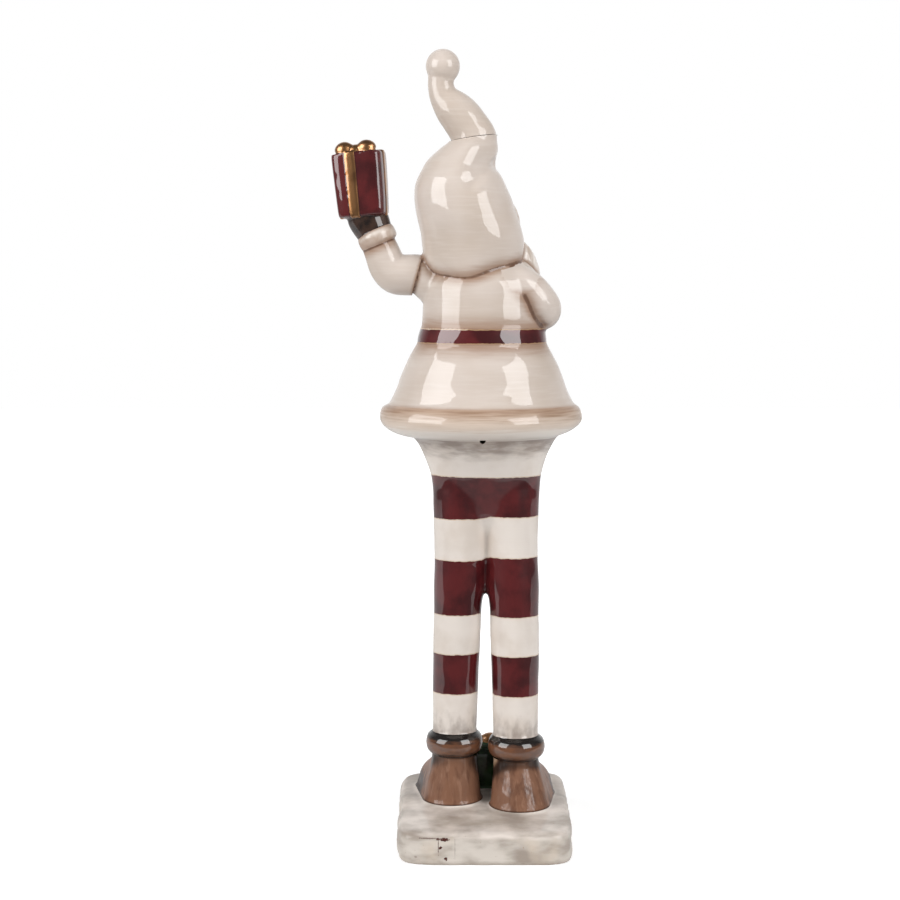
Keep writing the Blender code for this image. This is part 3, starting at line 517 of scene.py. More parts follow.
# %% Raised arm
arm_forms = []
arm_start = SHOULDER + SHOULDER_NORMAL * SEAM_GAP
LEFT_SLEEVE = (
    (28.0, -3.0, 286.6, 10.0), (33.8, -3.0, 288.0, 10.0), (40.0, -3.0, 288.0, 9.9),
    (45.2, -3.0, 288.6, 9.8), (49.2, -3.0, 292.6, 9.2), (52.0, -3.0, 299.4, 8.6), (54.8, -3.0, 306.2, 8.1))
left_wrist = np.array((54.3, -3.0, 306.7))
left_ahead = np.array((0.437, 0.0, 0.8995))
HELD_GIFT_SIZE, HELD_GIFT_TAPER = (25.0, 20.0, 32.0), 0.92
HELD_GIFT_FOOT, HELD_GIFT_LEAN, HELD_GIFT_TURN = (60.9, -3.0, 317.2), math.radians(5.0), math.radians(-10.0)
arm_forms.append(("left_sleeve", "sleeve", limb(LEFT_SLEEVE, 48)))
arm_forms.append(("left_band", "fur", fur_band(left_wrist, left_ahead, 9.6, 7.2, (0, 1, 0))))
hand, thumb = mitten(left_wrist + left_ahead * 3.0, left_ahead, np.array((0.0, -1.0, 0.0)))
arm_forms += [("left_hand", "mitten", hand), ("left_thumb", "mitten", thumb)]
held_place = (Matrix.Translation(HELD_GIFT_FOOT) @ Matrix.Rotation(HELD_GIFT_LEAN, 4, "Y")
              @ Matrix.Rotation(HELD_GIFT_TURN, 4, "Z"))
arm_forms += gift("held_gift", "wrap", HELD_GIFT_SIZE, HELD_GIFT_TAPER, 6.0, 2.4, 2.5, (0.0, 5.0), held_place)
print("forms in the raised arm:", len(arm_forms))

# %% [markdown]
# ## The curled tip
# The tip swings to one side, thins, and ends in a bobble. Its neck is a shade wider than the hood's, which
# gives the small step that shows at the joint.

# %% Hat tip
TIP_PATH = (
    (5.3, 0, 352.0, 11.0), (5.8, 0, 356.2, 11.0), (8.6, 0, 361.4, 10.3), (12.3, 0, 366.6, 10.0),
    (16.8, 0, 371.4, 9.0), (20.7, 0, 376.4, 7.0), (22.3, 0, 381.9, 6.2), (22.0, 0, 386.0, 6.4),
    (21.6, 0, 390.5, 7.0))
BOBBLE_MIDDLE, BOBBLE_RADIUS = (21.2, 0, 391.2), 8.3
tip_forms = [("tip", "hood", limb(TIP_PATH, 48, HOOD_FLATNESS)),
             ("bobble", "hood", ball(BOBBLE_MIDDLE, (BOBBLE_RADIUS,) * 3, 40))]
print("forms in the tip:", len(tip_forms))

# %% [markdown]
# ## Pouring
# All the forms of a casting are put in one mesh and remeshed in small voxels, which joins them as slip
# joins in a mould. A few rounds of smoothing then round every inner corner, as thick glaze does.


# %% Pour the castings
def pour(name, forms, voxel, rounds):
    points, faces, start = [], [], 0
    for _, _, (form_points, form_faces) in forms:
        points.append(form_points * MM)
        faces += [tuple(start + i for i in face) for face in form_faces]
        start += len(form_points)
    mesh = bpy.data.meshes.new(name)
    mesh.from_pydata(np.vstack(points).tolist(), [], faces)
    piece = bpy.data.objects.new(name, mesh)
    bpy.context.scene.collection.objects.link(piece)
    remesh = piece.modifiers.new("slip", "REMESH")
    remesh.mode = "VOXEL"
    remesh.voxel_size = voxel * MM
    soften = piece.modifiers.new("glaze", "SMOOTH")
    soften.factor = 0.5
    soften.iterations = rounds
    return settle(piece)


def settle(piece):
    """Keep what the modifiers made, and drop them."""
    view = bpy.context.evaluated_depsgraph_get()
    mesh = bpy.data.meshes.new_from_object(piece.evaluated_get(view))
    piece.modifiers.clear()
    old = piece.data
    piece.data = mesh
    bpy.data.meshes.remove(old)
    return piece


figure = pour("santa_figure", figure_forms, 1.15, 3)
arm = pour("raised_arm_and_gift", arm_forms, 0.55, 3)
tip = pour("curled_hat_tip", tip_forms, 0.6, 8)
for piece in (figure, arm, tip):
    print(piece.name, len(piece.data.polygons), "faces")

# %% [markdown]
# ## The maker's hand
# No surface on such a figure is quite even. Broad, weak noise moves every point along its normal, so that
# the reflections get ragged edges. Folds are pressed in along a line, as with the side of a tool.


# %% Wobble and folds
def points_of(piece):
    flat = np.empty(len(piece.data.vertices) * 3)
    piece.data.vertices.foreach_get("co", flat)
    return flat.reshape(-1, 3) / MM


def normals_of(piece):
    flat = np.empty(len(piece.data.vertices) * 3)
    piece.data.vertices.foreach_get("normal", flat)
    return flat.reshape(-1, 3)


def put_points(piece, points):
    piece.data.vertices.foreach_set("co", (points * MM).ravel())
    piece.data.update()


def fade(values, start, end):
    """0 up to start and 1 from end on, with a straight ramp between; end may be the smaller one."""
    return np.clip((values - start) / (end - start), 0, 1)


def lumps(points, scale, seed):
    """Smooth noise with lumps of about this size."""
    shift = Vector((seed * 7.3, seed * 3.1, seed * 5.7))
    return np.array([noise.noise(Vector(p) / scale + shift) for p in points])


def line_distance(points, line):
    """Distance to a bent line, and how far along it the nearest spot lies, from 0 to 1."""
    best = np.full(len(points), np.inf)
    along = np.zeros(len(points))
    line = np.array(line, float)
    for k, (a, b) in enumerate(zip(line, line[1:])):
        share = np.clip((points - a) @ (b - a) / ((b - a) @ (b - a)), 0, 1)
        gap = np.linalg.norm(points - a - np.outer(share, b - a), axis=1)
        closer = gap < best
        best = np.where(closer, gap, best)
        along = np.where(closer, (k + share) / (len(line) - 1), along)
    return best, along


def press(points, normals, line, width, depth):
    """Push a soft groove in along a line that fades at its far end."""
    gap, along = line_distance(points, line)
    return points - normals * (depth * np.exp(-(gap / width) ** 2) * (1 - along) ** 0.6)[:, None]


GLAZE_THICKNESS = 0.35
FOLDS = (  # line, width and depth; a negative depth raises a ridge
    (((-6.0, 2, 343.5), (-4.0, 12, 341.5), (1.0, 18, 338.0), (6.0, 21, 333.5), (9.0, 22, 328.0)), 2.8, 2.2),
    (((-9.0, 6, 336.0), (-5.0, 15, 333.0), (2.0, 22, 327.0), (6.0, 23, 320.0)), 5.0, -0.7),
    (((-2.0, 14.0, 346.0), (2.5, 17.5, 342.0), (7.0, 20.5, 336.0), (10.0, 22.0, 330.0)), 4.6, 1.7),
    (((8.5, 13.0, 351.5), (13.5, 17.5, 343.5), (18.5, 20.0, 335.5), (22.0, 21.0, 327.0)), 5.5, -1.3),
    (((-28.5, 8.0, 263.0), (-24.0, 13.5, 270.5), (-18.7, 17.5, 279.6)), 1.6, 1.0),
    (((24.0, 18.0, 291.5), (26.0, 15.0, 287.0), (27.0, 14.0, 282.0)), 1.5, 0.5))
for piece, strength in ((figure, 0.32), (arm, 0.16), (tip, 0.16)):
    points, normals = points_of(piece), normals_of(piece)
    if piece is figure:
        for line, width, depth in FOLDS:
            points = press(points, normals, line, width, depth)
    wave = lumps(points, 26.0, 1) + 0.45 * lumps(points, 9.0, 2)
    points += normals * (strength * wave + GLAZE_THICKNESS)[:, None]
    put_points(piece, points)
print("folds:", len(FOLDS))

# %% [markdown]
# The plinth is rougher than the rest: it bulges and dips by a millimetre, most of all at its corners.
# Its underside stays flat, because the figure has to stand.

# %% A lumpy plinth
RIGHT_CORNER_PULL, FRONT_LIFT = 1.2, 1.5
points, normals = points_of(figure), normals_of(figure)
x, y, z = points.T
on_plinth = fade(z, PLINTH_HEIGHT + 1.0, PLINTH_HEIGHT - 1.0) * fade(z, 0, 1.5)
rough = 0.9 * lumps(points, 17.0, 5) + 0.6 * lumps(points, 6.0, 6)
points = points + normals * (on_plinth * rough)[:, None]
x, y, z = points.T
points[:, 0] += on_plinth * fade(-x, 0, PLINTH_WIDTH / 2) ** 3 * fade(y, -60, 53) * RIGHT_CORNER_PULL
points[:, 2] += fade(-y, 20, 45) * fade(z, 6, 12) * (z < 20) * FRONT_LIFT
points = np.clip(points, plinth_low, plinth_high)
put_points(figure, points)
print("plinth lumps:", round(float(np.abs(on_plinth * rough).max()), 2), "mm")

# %% [markdown]
# ## Cutting joints and holes
# The castings are trimmed flat where they are stuck on. The main one is hollow, with a pour hole underneath
# and a small vent under the hem. The hollow is a coarse copy of the same rows, one wall further in.


# %% Cut the joints and the hollow
def cutter(form):
    points, faces = form
    mesh = bpy.data.meshes.new("cutter")
    mesh.from_pydata((np.asarray(points) * MM).tolist(), [], faces)
    item = bpy.data.objects.new("cutter", mesh)
    bpy.context.scene.collection.objects.link(item)
    return item


def cut(piece, cutters):
    for item in cutters:
        step = piece.modifiers.new("cut", "BOOLEAN")
        step.operation = "DIFFERENCE"
        step.solver = "MANIFOLD"
        step.object = item
    settle(piece)
    for item in cutters:
        bpy.data.objects.remove(item, do_unlink=True)


def half_space(point, normal, size=60.0):
    """A block whose one face lies on the joint plane."""
    normal = np.array(normal, float) / np.linalg.norm(normal)
    side = np.cross(normal, (0, 1, 0))
    along = np.cross(normal, side)
    rings = [ring(np.add(point, normal * far), side * size, along * size, 4) for far in (0, size)]
    return cutter(skin(rings))


HAT_SEAM = np.array((5.8, 0.0, 355.9))
HAT_NORMAL = np.array((0.139, 0.0, 0.990))
cut(tip, [half_space(HAT_SEAM + HAT_NORMAL * SEAM_GAP, -HAT_NORMAL)])
cut(arm, [half_space(arm_start, -SHOULDER_NORMAL)])
print("joint faces: 2")

# %% Hollow, pour hole and vent
WALL = 4.0
POUR_HOLE, POUR_HOLE_RADIUS = (0.0, 29.0), 7.0
VENT_X, VENT_HEIGHT, VENT_RADIUS = 1.6, 206.6, 1.5
VENT_OUTSIDE, VENT_INSIDE = 35.0, 23.0
HOLLOW_PLINTH = ((4, 37, 47), (5, 39, 49), (11.5, 37, 47))
HOLLOW_BODY = (
    (206.0, 1.2, 30.0), (212.0, 1.8, 38.0), (217.0, 1.9, 45.6), (228.0, 1.9, 39.0), (254.0, 1.8, 27.6),
    (280.0, 1.0, 25.6), (292.0, 1.0, 20.0), (296.0, 1.0, 14.0))
HOLLOW_HEAD = (
    (290.0, 7.4, 12.0), (303.0, 6.3, 21.2), (321.0, 10.2, 20.4), (333.0, 12.6, 17.6), (343.0, 12.0, 12.0),
    (347.0, 10.0, 8.0))


def tube_between(start, end, radius, facets=24):
    start, end = np.array(start, float), np.array(end, float)
    axis = (end - start) / np.linalg.norm(end - start)
    side = np.cross(axis, (1, 0.2, 0.1))
    side = side / np.linalg.norm(side) * radius
    return skin([ring(point, side, np.cross(axis, side), facets) for point in (start, end)])


hollow = [skin([ring((0, 0, z), (width, 0, 0), (0, depth, 0), 24, 8) for z, width, depth in HOLLOW_PLINTH])]
for side in (1, -1):
    hollow.append(leg(side, WALL, 12))
    hollow.append(skin([ring((*ANKLES[side], z), (6, 0, 0), (0, 6, 0), 12) for z in (8.0, 20.0)]))
hollow.append(hips(HIP_LEVELS[2:], WALL, 24))
hollow.append(turned(HOLLOW_BODY, facets=24))
hollow.append(turned(HOLLOW_HEAD, HOOD_Y, HOOD_FLATNESS, 24))
cast_hollow = pour("hollow", [("", "", form) for form in hollow], 3.0, 1)
pour_hole = cutter(tube_between((*POUR_HOLE, -3), (*POUR_HOLE, 7), POUR_HOLE_RADIUS))
vent_ends = [(VENT_X, COAT_Y + out, VENT_HEIGHT) for out in (VENT_OUTSIDE, VENT_INSIDE)]
vent = cutter(tube_between(*vent_ends, VENT_RADIUS))
cut(figure, [half_space(HAT_SEAM, HAT_NORMAL), cast_hollow, pour_hole, vent])
for piece in (figure, arm, tip):
    print(piece.name, sum(len(face.vertices) - 2 for face in piece.data.polygons), "triangles")

# %% [markdown]
# ## Where each paint goes
# A painter follows the forms, so the computer does too. For every point of the casting, the distance to
# each form is measured. A paint's field is positive where its own forms are nearest and falls smoothly to
# zero at the border, so that a material can draw a crisp, slightly shaky edge from it.


# %% Measure the fields
REACH = 9.0


def distances(points, form):
    """Distance of every point to a form, at most REACH."""
    form_points, faces = form
    out = np.full(len(points), REACH)
    low, high = form_points.min(axis=0) - REACH, form_points.max(axis=0) + REACH
    near = np.flatnonzero(np.all((points > low) & (points < high), axis=1))
    tree = BVHTree.FromPolygons(form_points.tolist(), faces)
    for i in near:
        found = tree.find_nearest(points[i], REACH)
        if found[0] is not None:
            out[i] = found[3]
    return out


def add_field(piece, name, values):
    layer = piece.data.attributes.new(name, "FLOAT", "POINT")
    layer.data.foreach_set("value", np.asarray(values, dtype=np.float32))


def measure(piece, forms):
    """The points of a casting, and their distance to the nearest form of each paint."""
    points = points_of(piece)
    gaps = {}
    for _, paint, form in forms:
        gap = distances(points, form)
        gaps[paint] = np.minimum(gaps[paint], gap) if paint in gaps else gap
    return points, gaps


def nearest(gaps, paints):
    """Distance to the nearest form of any of these paints."""
    return np.min([gaps[paint] for paint in paints if paint in gaps], axis=0)


def paint_fields(piece, gaps, names):
    for name in names:
        rest = nearest(gaps, [paint for paint in gaps if paint != name])
        add_field(piece, name, np.clip(rest - gaps[name], -REACH, REACH))


figure_points, figure_gaps = measure(figure, figure_forms)
arm_points, arm_gaps = measure(arm, arm_forms)
paint_fields(figure, figure_gaps, ("stone", "boot", "band", "stocking", "hem", "fur", "beard", "skin", "nose",
                                   "mitten", "green", "gold"))
paint_fields(arm, arm_gaps, ("wrap", "gold", "mitten", "fur"))
print("fields measured for", len(figure_points) + len(arm_points), "points")

# %% [markdown]
# Stripes and belt are bands at fixed heights. The two legs were painted one after the other, so their
# stripes don't line up exactly.

# %% Stripes and belt
STRIPES = {  # lower and upper border of each stripe on each leg
    1: ((165.1, 186.8), (115.3, 143.5), (73.9, 94.6)),
    -1: ((166.1, 186.6), (114.8, 144.9), (74.0, 94.4))}
BELT = (254.4, 260.9)


def band_field(z, low, high):
    return np.minimum(z - low, high - z)


x, z = figure_points[:, 0], figure_points[:, 2]
on_left = fade(x, HIP_X - 2.0, HIP_X + 2.0)
stripes = np.full(len(z), -REACH)
for left, right in zip(STRIPES[1], STRIPES[-1]):
    low, high = (b + (a - b) * on_left for a, b in zip(left, right))
    stripes = np.maximum(stripes, band_field(z, low, high))
off_stocking = figure_gaps["stocking"] - nearest(figure_gaps, ("band", "hem", "green", "gold"))
stripes = np.minimum(stripes, -off_stocking)
off_belt = figure_gaps["belt"] - nearest(figure_gaps, ("sleeve", "mitten", "beard", "fur", "gold"))
belt_field = np.minimum(band_field(z, *BELT), -off_belt)
add_field(figure, "maroon", np.clip(np.maximum(stripes, belt_field), -REACH, REACH))
print("stripes: 3 on each leg, belt:", BELT)

# %% [markdown]
# The brown wash gathers where two forms meet, and that is where a point's second-nearest group of forms is
# close too. Lines that were drawn with the wash, beside the belt, along the hem and round the joint, are
# added to the same field. The right shoulder runs smoothly into the chest, so the wash is lifted off there.

# %% Creases and eyes
GROUPS = (("coat", "belt", "hem"), ("hood",), ("sleeve",), ("stocking",), ("boot",), ("band",), ("stone",),
          ("fur",), ("beard",), ("skin",), ("mitten",), ("green",), ("gold",))
ARM_GROUPS = (("sleeve",), ("fur",), ("mitten",), ("wrap",), ("gold",))
BELT_LINE, HEM_LINE = (0.9, 0.55), (1.2, 2.5)
SEAM_LINE, ARM_SEAM_LINE = (0.4, 2.6), (0.4, 3.0)
EYE_APART, EYE_RISE, EYE_FORWARD, EYE_SHAPE = 5.2, 2.6, 12.0, (1.0, 1.0, 0.8)


def crease_field(gaps, groups):
    """Distance to the second-nearest of the groups of paints, which is small in a crease."""
    return np.sort([nearest(gaps, group) for group in groups], axis=0)[1]


def with_line(creases, gap, start, slope):
    """Add a drawn line where the gap is zero. Start sets how dark it is, and slope how soon it ends."""
    return np.minimum(creases, start + slope * gap)


creases = crease_field(figure_gaps, GROUPS)
beside_belt = np.maximum(np.maximum(BELT[0] - z, z - BELT[1]), 0.0)
creases = with_line(creases, np.where(figure_gaps["coat"] < 1.0, beside_belt, np.inf), *BELT_LINE)
off_sleeve = np.linalg.norm(figure_points - SHOULDER, axis=1) - SLEEVE_RADIUS
at_seam = np.abs((figure_points - SHOULDER) @ SHOULDER_NORMAL) + np.clip(off_sleeve - 1.0, 0, None)
creases = with_line(creases, at_seam, *SEAM_LINE)
creases = with_line(creases, np.maximum(figure_gaps["coat"], figure_gaps["hem"]), *HEM_LINE)
near_both = np.maximum(figure_gaps["sleeve"], figure_gaps["coat"]) < 4
shoulder = near_both & (figure_gaps["hood"] > 2.5) & (x < -8)
creases = np.where(shoulder, np.maximum(creases, (z - 278.0) * 1.5), creases)
add_field(figure, "crease", creases)
at_seam = np.abs((arm_points - arm_start) @ SHOULDER_NORMAL)
add_field(arm, "crease", with_line(crease_field(arm_gaps, ARM_GROUPS), at_seam, *ARM_SEAM_LINE))
add_field(tip, "crease", np.full(len(tip.data.vertices), REACH))
eyes = np.full(len(figure_points), REACH)
for side in (1, -1):
    eye = face_middle + ACROSS * side * EYE_APART + UP * EYE_RISE + AHEAD * EYE_FORWARD
    eyes = np.minimum(eyes, np.linalg.norm((figure_points - eye) * EYE_SHAPE, axis=1))
add_field(figure, "eye", eyes)
print("points in a crease:", int((creases < 1.5).sum()))

# %% [markdown]
# ## Colour helpers
# Paints are written as the 0 to 255 values that a colour picker shows, and turned into the linear light
# that the shader wants. Small functions add nodes, so that a material reads from top to bottom.


# %% Node helpers
def paint(red, green, blue):
    def linear(value):
        share = value / 255
        return share / 12.92 if share <= 0.04045 else ((share + 0.055) / 1.055) ** 2.4
    return (linear(red), linear(green), linear(blue), 1.0)


class Bench:
    """The nodes of one material, or of the world."""

    def __init__(self, owner, shader="Principled BSDF"):
        owner.use_nodes = True
        self.owner, self.tree = owner, owner.node_tree
        self.shader = self.tree.nodes[shader]
        self.place = self.node("ShaderNodeTexCoord").outputs["Object"]

    def node(self, kind, **settings):
        made = self.tree.nodes.new(kind)
        for key, value in settings.items():
            setattr(made, key, value)
        return made

    def put(self, value, socket):
        """A value, or what another node sends, goes into a socket."""
        if hasattr(value, "is_output"):
            self.tree.links.new(value, socket)
        else:
            socket.default_value = value

    def fed(self, kind, values, sockets, **settings):
        """A new node with the values in its sockets; gives back the node."""
        made = self.node(kind, **settings)
        for value, socket in zip(values, sockets):
            self.put(value, made.inputs[socket])
        return made

    def math(self, operation, a, b=0.0):
        return self.fed("ShaderNodeMath", (a, b), (0, 1), operation=operation).outputs[0]

    def times(self, a, b):
        return self.math("MULTIPLY", a, b)

    def plus(self, a, b):
        return self.math("ADD", a, b)

    def minus(self, a, b):
        return self.math("SUBTRACT", a, b)

    def most(self, a, b):
        return self.math("MAXIMUM", a, b)

    def mix(self, share, first, second):
        return self.fed("ShaderNodeMix", (share, first, second), (0, 6, 7), data_type="RGBA").outputs[2]

    def between(self, share, first, second):
        return self.fed("ShaderNodeMix", (share, first, second), (0, 2, 3)).outputs[0]

    def field(self, name):
        return self.node("ShaderNodeAttribute", attribute_name=name).outputs["Fac"]

    def ramp(self, value, low, high, first=0.0, last=1.0, kind="SMOOTHSTEP"):
        """First at low, last at high and a soft ramp between; high may be the smaller one."""
        values = (value, low, high, first, last)
        return self.fed("ShaderNodeMapRange", values, range(5), interpolation_type=kind).outputs[0]

    def clouds(self, size, detail=3.0, stretch=(1, 1, 1)):
        """Noise with spots of the given size in millimetres; a stretched axis makes strokes."""
        scale = [1 / (size * MM * s) for s in stretch]
        scaled = self.fed("ShaderNodeMapping", (self.place, scale), ("Vector", "Scale"))
        values = (scaled.outputs[0], 1.0, detail)
        return self.fed("ShaderNodeTexNoise", values, ("Vector", "Scale", "Detail")).outputs["Fac"]

    def axis(self, index):
        """One coordinate in millimetres."""
        apart = self.fed("ShaderNodeSeparateXYZ", (self.place,), (0,))
        return self.times(apart.outputs[index], 1 / MM)


print("maroon in linear light:", [round(v, 3) for v in paint(88, 28, 30)])

# %% [markdown]
# ## The glazes
# Underneath is a matt paint, and over it a hard clear glaze: the coat layer of the shader. First comes the
# cream of coat and hood, brushed on in thin strokes with a brown wash left in the creases. Each further
# paint is laid over it where its field is positive, and a thin warm line shows at its edge, where the
# glaze has drawn back.

# %% Cream ground and brown wash
CREAM, CREAM_DARK, CREAM_PALE = paint(202, 190, 181), paint(191, 177, 165), paint(211, 203, 196)
WASH, WASH_DEEP = paint(146, 113, 90), paint(84, 56, 42)
WARM_EDGE = paint(196, 158, 116)
CREAM_GLOSS, DARK_GLOSS = 0.6, 0.95


def cream_ground(bench):
    """Cream with brush strokes, and brown in the creases."""
    strokes = bench.clouds(2.2, 4.0, (7, 7, 0.6))
    colour = bench.mix(bench.ramp(bench.clouds(34, 2.0), 0.35, 0.68), CREAM, CREAM_DARK)
    colour = bench.mix(bench.times(bench.ramp(strokes, 0.42, 0.75), 0.25), colour, CREAM_PALE)
    crease = bench.plus(bench.field("crease"), bench.times(strokes, -3.5))
    colour = bench.mix(bench.times(bench.ramp(crease, 4.8, -1.6), 0.9), colour, WASH)
    sharp = bench.times(bench.ramp(bench.field("crease"), 1.6, 0.8), 0.75)
    return bench.mix(sharp, colour, WASH_DEEP), strokes


def lay_paint(bench, colour, field, new_colour, shake, edge_line=0.0, softness=0.12):
    """Lay a paint over the colour where its field is positive, with a shaky edge."""
    border = bench.plus(field, shake)
    if edge_line:
        outside = bench.ramp(border, -edge_line - 0.3, -edge_line)
        line = bench.times(outside, bench.ramp(border, 0.1, 0.0))
        colour = bench.mix(bench.times(line, 0.45), colour, WARM_EDGE)
    mask = bench.ramp(border, -softness, softness)
    return bench.mix(mask, colour, new_colour), mask


def mottled(bench, first, second, size, low=0.38, high=0.66, stretch=(1, 1, 1)):
    return bench.mix(bench.ramp(bench.clouds(size, 4.0, stretch), low, high), first, second)


def crease_wash_and_shade(bench, colour, mask):
    """Brown wash and painted shade in the creases of the fur."""
    wash_and_shade_mask = bench.times(mask, bench.ramp(bench.field("crease"), 3.0, 0.6))
    return bench.mix(bench.times(wash_and_shade_mask, 0.75), colour, WASH)


def edge_shake(bench, size=0.88):
    return bench.times(bench.minus(bench.clouds(3.2, 2.0), 0.5), size)


def glaze_over(bench, colour, roughness, height, distance=0.25):
    """Colour, roughness and relief go into the shader, and the clear glaze goes on top."""
    sockets = bench.shader.inputs
    bench.put(colour, sockets["Base Color"])
    bench.put(roughness, sockets["Roughness"])
    bump = bench.fed("ShaderNodeBump", (0.25, distance * MM, height), ("Strength", "Distance", "Height"))
    bench.put(bump.outputs[0], sockets["Normal"])
    if not sockets["Coat Weight"].is_linked:
        sockets["Coat Weight"].default_value = CREAM_GLOSS
    sockets["IOR"].default_value = 1.5
    sockets["Coat Roughness"].default_value = 0.03
    sockets["Coat IOR"].default_value = 1.65
    sockets["Specular IOR Level"].default_value = 0.1


def dress(piece, glaze, name):
    """Make a glaze and put it on a casting, in place of any other."""
    bench = Bench(bpy.data.materials.new(name))
    glaze(bench)
    piece.data.materials.clear()
    piece.data.materials.append(bench.owner)
    print(name, "has", len(bench.tree.nodes), "nodes")


# %% [markdown]
# The tip is plain cream all over, with the faint strokes of the brush, so it comes first.


# %% Tip glaze
def tip_glaze(bench):
    colour, strokes = cream_ground(bench)
    glaze_over(bench, colour, 0.42, strokes)


dress(tip, tip_glaze, "hat_glaze")

# %% [markdown]
# The arm has a cream sleeve, an off-white band, a dark brown mitten, maroon wrapping, and ribbons in gold
# lustre, which is a real metal film fired on at the end.

# %% Arm glaze
# The third maroon is painted shade for the creases of the dark paints.
MAROON, MAROON_DARK, MAROON_CREASE_SHADE = paint(86, 26, 28), paint(60, 15, 18), paint(30, 12, 12)
MITTEN, MITTEN_DARK = paint(60, 41, 32), paint(26, 17, 14)
FUR, FUR_SHADE, BEARD = paint(212, 202, 193), paint(190, 175, 162), paint(226, 219, 212)
GOLD, GOLD_DARK = paint(176, 127, 83), paint(126, 86, 54)


def gold_over(bench, colour, shake):
    lustre = mottled(bench, GOLD, GOLD_DARK, 9.0, 0.45, 0.80)
    colour, mask = lay_paint(bench, colour, bench.field("gold"), lustre, shake, 0.0, 0.15)
    bench.put(mask, bench.shader.inputs["Metallic"])
    return colour, mask


def arm_glaze(bench):
    colour, strokes = cream_ground(bench)
    shake = edge_shake(bench)
    masks = {}
    for name, first, second, size in (("fur", FUR, FUR_SHADE, 7.0), ("mitten", MITTEN, MITTEN_DARK, 6.0),
                                      ("wrap", MAROON, MAROON_DARK, 12.0)):
        new_colour = mottled(bench, first, second, size)
        colour, masks[name] = lay_paint(bench, colour, bench.field(name), new_colour, shake)
        if name == "fur":
            # brown wash and painted shade in the creases of the fur band
            colour = crease_wash_and_shade(bench, colour, masks[name])
    dark_paints = bench.most(masks["wrap"], masks["mitten"])
    # painted shade: near-black in the creases of the wrapping and the mitten
    crease_shade = bench.times(dark_paints, bench.ramp(bench.field("crease"), 1.3, 0.3))
    colour = bench.mix(bench.times(crease_shade, 0.85), colour, MAROON_CREASE_SHADE)
    colour, gold_mask = gold_over(bench, colour, bench.times(shake, 0.4))
    bench.put(bench.between(dark_paints, CREAM_GLOSS, 0.9), bench.shader.inputs["Coat Weight"])
    glaze_over(bench, colour, bench.between(gold_mask, 0.42, 0.34), strokes)


dress(arm, arm_glaze, "arm_glaze")

# %% [markdown]
# The figure's glaze has the most layers. First its own paints, one function each: the stone grey of the
# plinth with its dirt and chips, and the brown leather of the boots with dark toes, rims and pale streaks of
# painted highlight.

# %% Stone and leather
STONE, STONE_DARK, STONE_WARM = paint(195, 187, 178), paint(148, 137, 127), paint(197, 183, 167)
STONE_TOP, STONE_FOOT, SPECK = paint(219, 209, 201), paint(158, 144, 130), paint(140, 112, 90)
# The pale boot colour is a painted highlight, drawn as upright streaks.
BOOT, BOOT_DARK, BOOT_SHEEN_STREAK = paint(123, 88, 69), paint(95, 65, 50), paint(153, 117, 96)
SLATE, BAND_BROWN, BLACK = paint(46, 42, 44), paint(107, 69, 47), paint(22, 16, 14)
CHIP_BROWN = paint(70, 36, 30)
CHIPS = (  # x, height, half width, half height and strength of the cracks and chips on the plinth's back
    (28.2, 13.9, 5.6, 0.34, 0.65), (23.4, 9.6, 0.34, 4.6, 0.6), (20.4, 13.3, 2.6, 1.0, 1.0),
    (22.4, 9.2, 0.9, 0.9, 1.0), (19.8, 3.6, 1.0, 1.0, 1.0), (23.6, 13.4, 1.2, 0.7, 0.9),
    (15.3, 8.0, 0.22, 6.5, 0.35), (34.5, 4.5, 0.8, 0.6, 0.4))
BACK_FACE = (49.0, 50.0)
BAND_MIDDLE = 45.6


def chip(bench, x, z, half_width, half_height):
    """A ragged spot on the back face, or a crack where one half size is small."""
    ragged = bench.times(bench.minus(bench.clouds(0.6, 3.0), 0.42), 2.6)
    across = bench.math("DIVIDE", bench.minus(bench.axis(0), x), half_width)
    up = bench.math("DIVIDE", bench.minus(bench.axis(2), z), half_height)
    size = bench.plus(bench.math("POWER", across, 2.0), bench.math("POWER", up, 2.0))
    spot = bench.ramp(bench.plus(size, ragged), 1.2, 0.7)
    return bench.times(spot, bench.ramp(bench.axis(1), *BACK_FACE))


def stone_paint(bench):
    colour = mottled(bench, STONE, STONE_DARK, 9.0, 0.40, 0.72, (2.2, 2.2, 1.0))
    colour = bench.mix(bench.ramp(bench.clouds(24, 3.0), 0.5, 0.72), colour, STONE_WARM)
    foot = bench.ramp(bench.plus(bench.axis(2), bench.clouds(3.0)), 3.2, 0.8)
    colour = bench.mix(bench.times(foot, 0.5), colour, STONE_FOOT)
    top = mottled(bench, STONE_TOP, STONE_DARK, 4.0, 0.3, 0.7, (5, 5, 1))
    colour = bench.mix(bench.times(bench.ramp(bench.axis(2), 12.0, 15.0), 0.8), colour, top)
    colour = bench.mix(bench.times(bench.ramp(bench.clouds(1.1, 2.0), 0.70, 0.76), 0.5), colour, SPECK)
    for *shape, strength in CHIPS:
        colour = bench.mix(bench.times(chip(bench, *shape), strength), colour, CHIP_BROWN)
    return colour


def boot_paint(bench):
    colour = mottled(bench, BOOT, BOOT_DARK, 9.0, 0.46, 0.72, (0.5, 0.5, 1.6))
    # painted highlight: pale upright streaks, as light broken on the brushed leather
    sheen_streaks = bench.ramp(bench.clouds(5, 3.0, (0.35, 0.35, 3.0)), 0.52, 0.8)
    colour = bench.mix(bench.times(sheen_streaks, 0.6), colour, BOOT_SHEEN_STREAK)
    toes = bench.ramp(bench.plus(bench.axis(1), bench.times(sheen_streaks, 6.0)), -8.0, -16.0)
    low = bench.ramp(bench.plus(bench.axis(2), bench.times(sheen_streaks, 8.0)), 31.0, 23.0)
    return bench.mix(bench.times(bench.times(toes, low), 0.9), colour, SLATE)


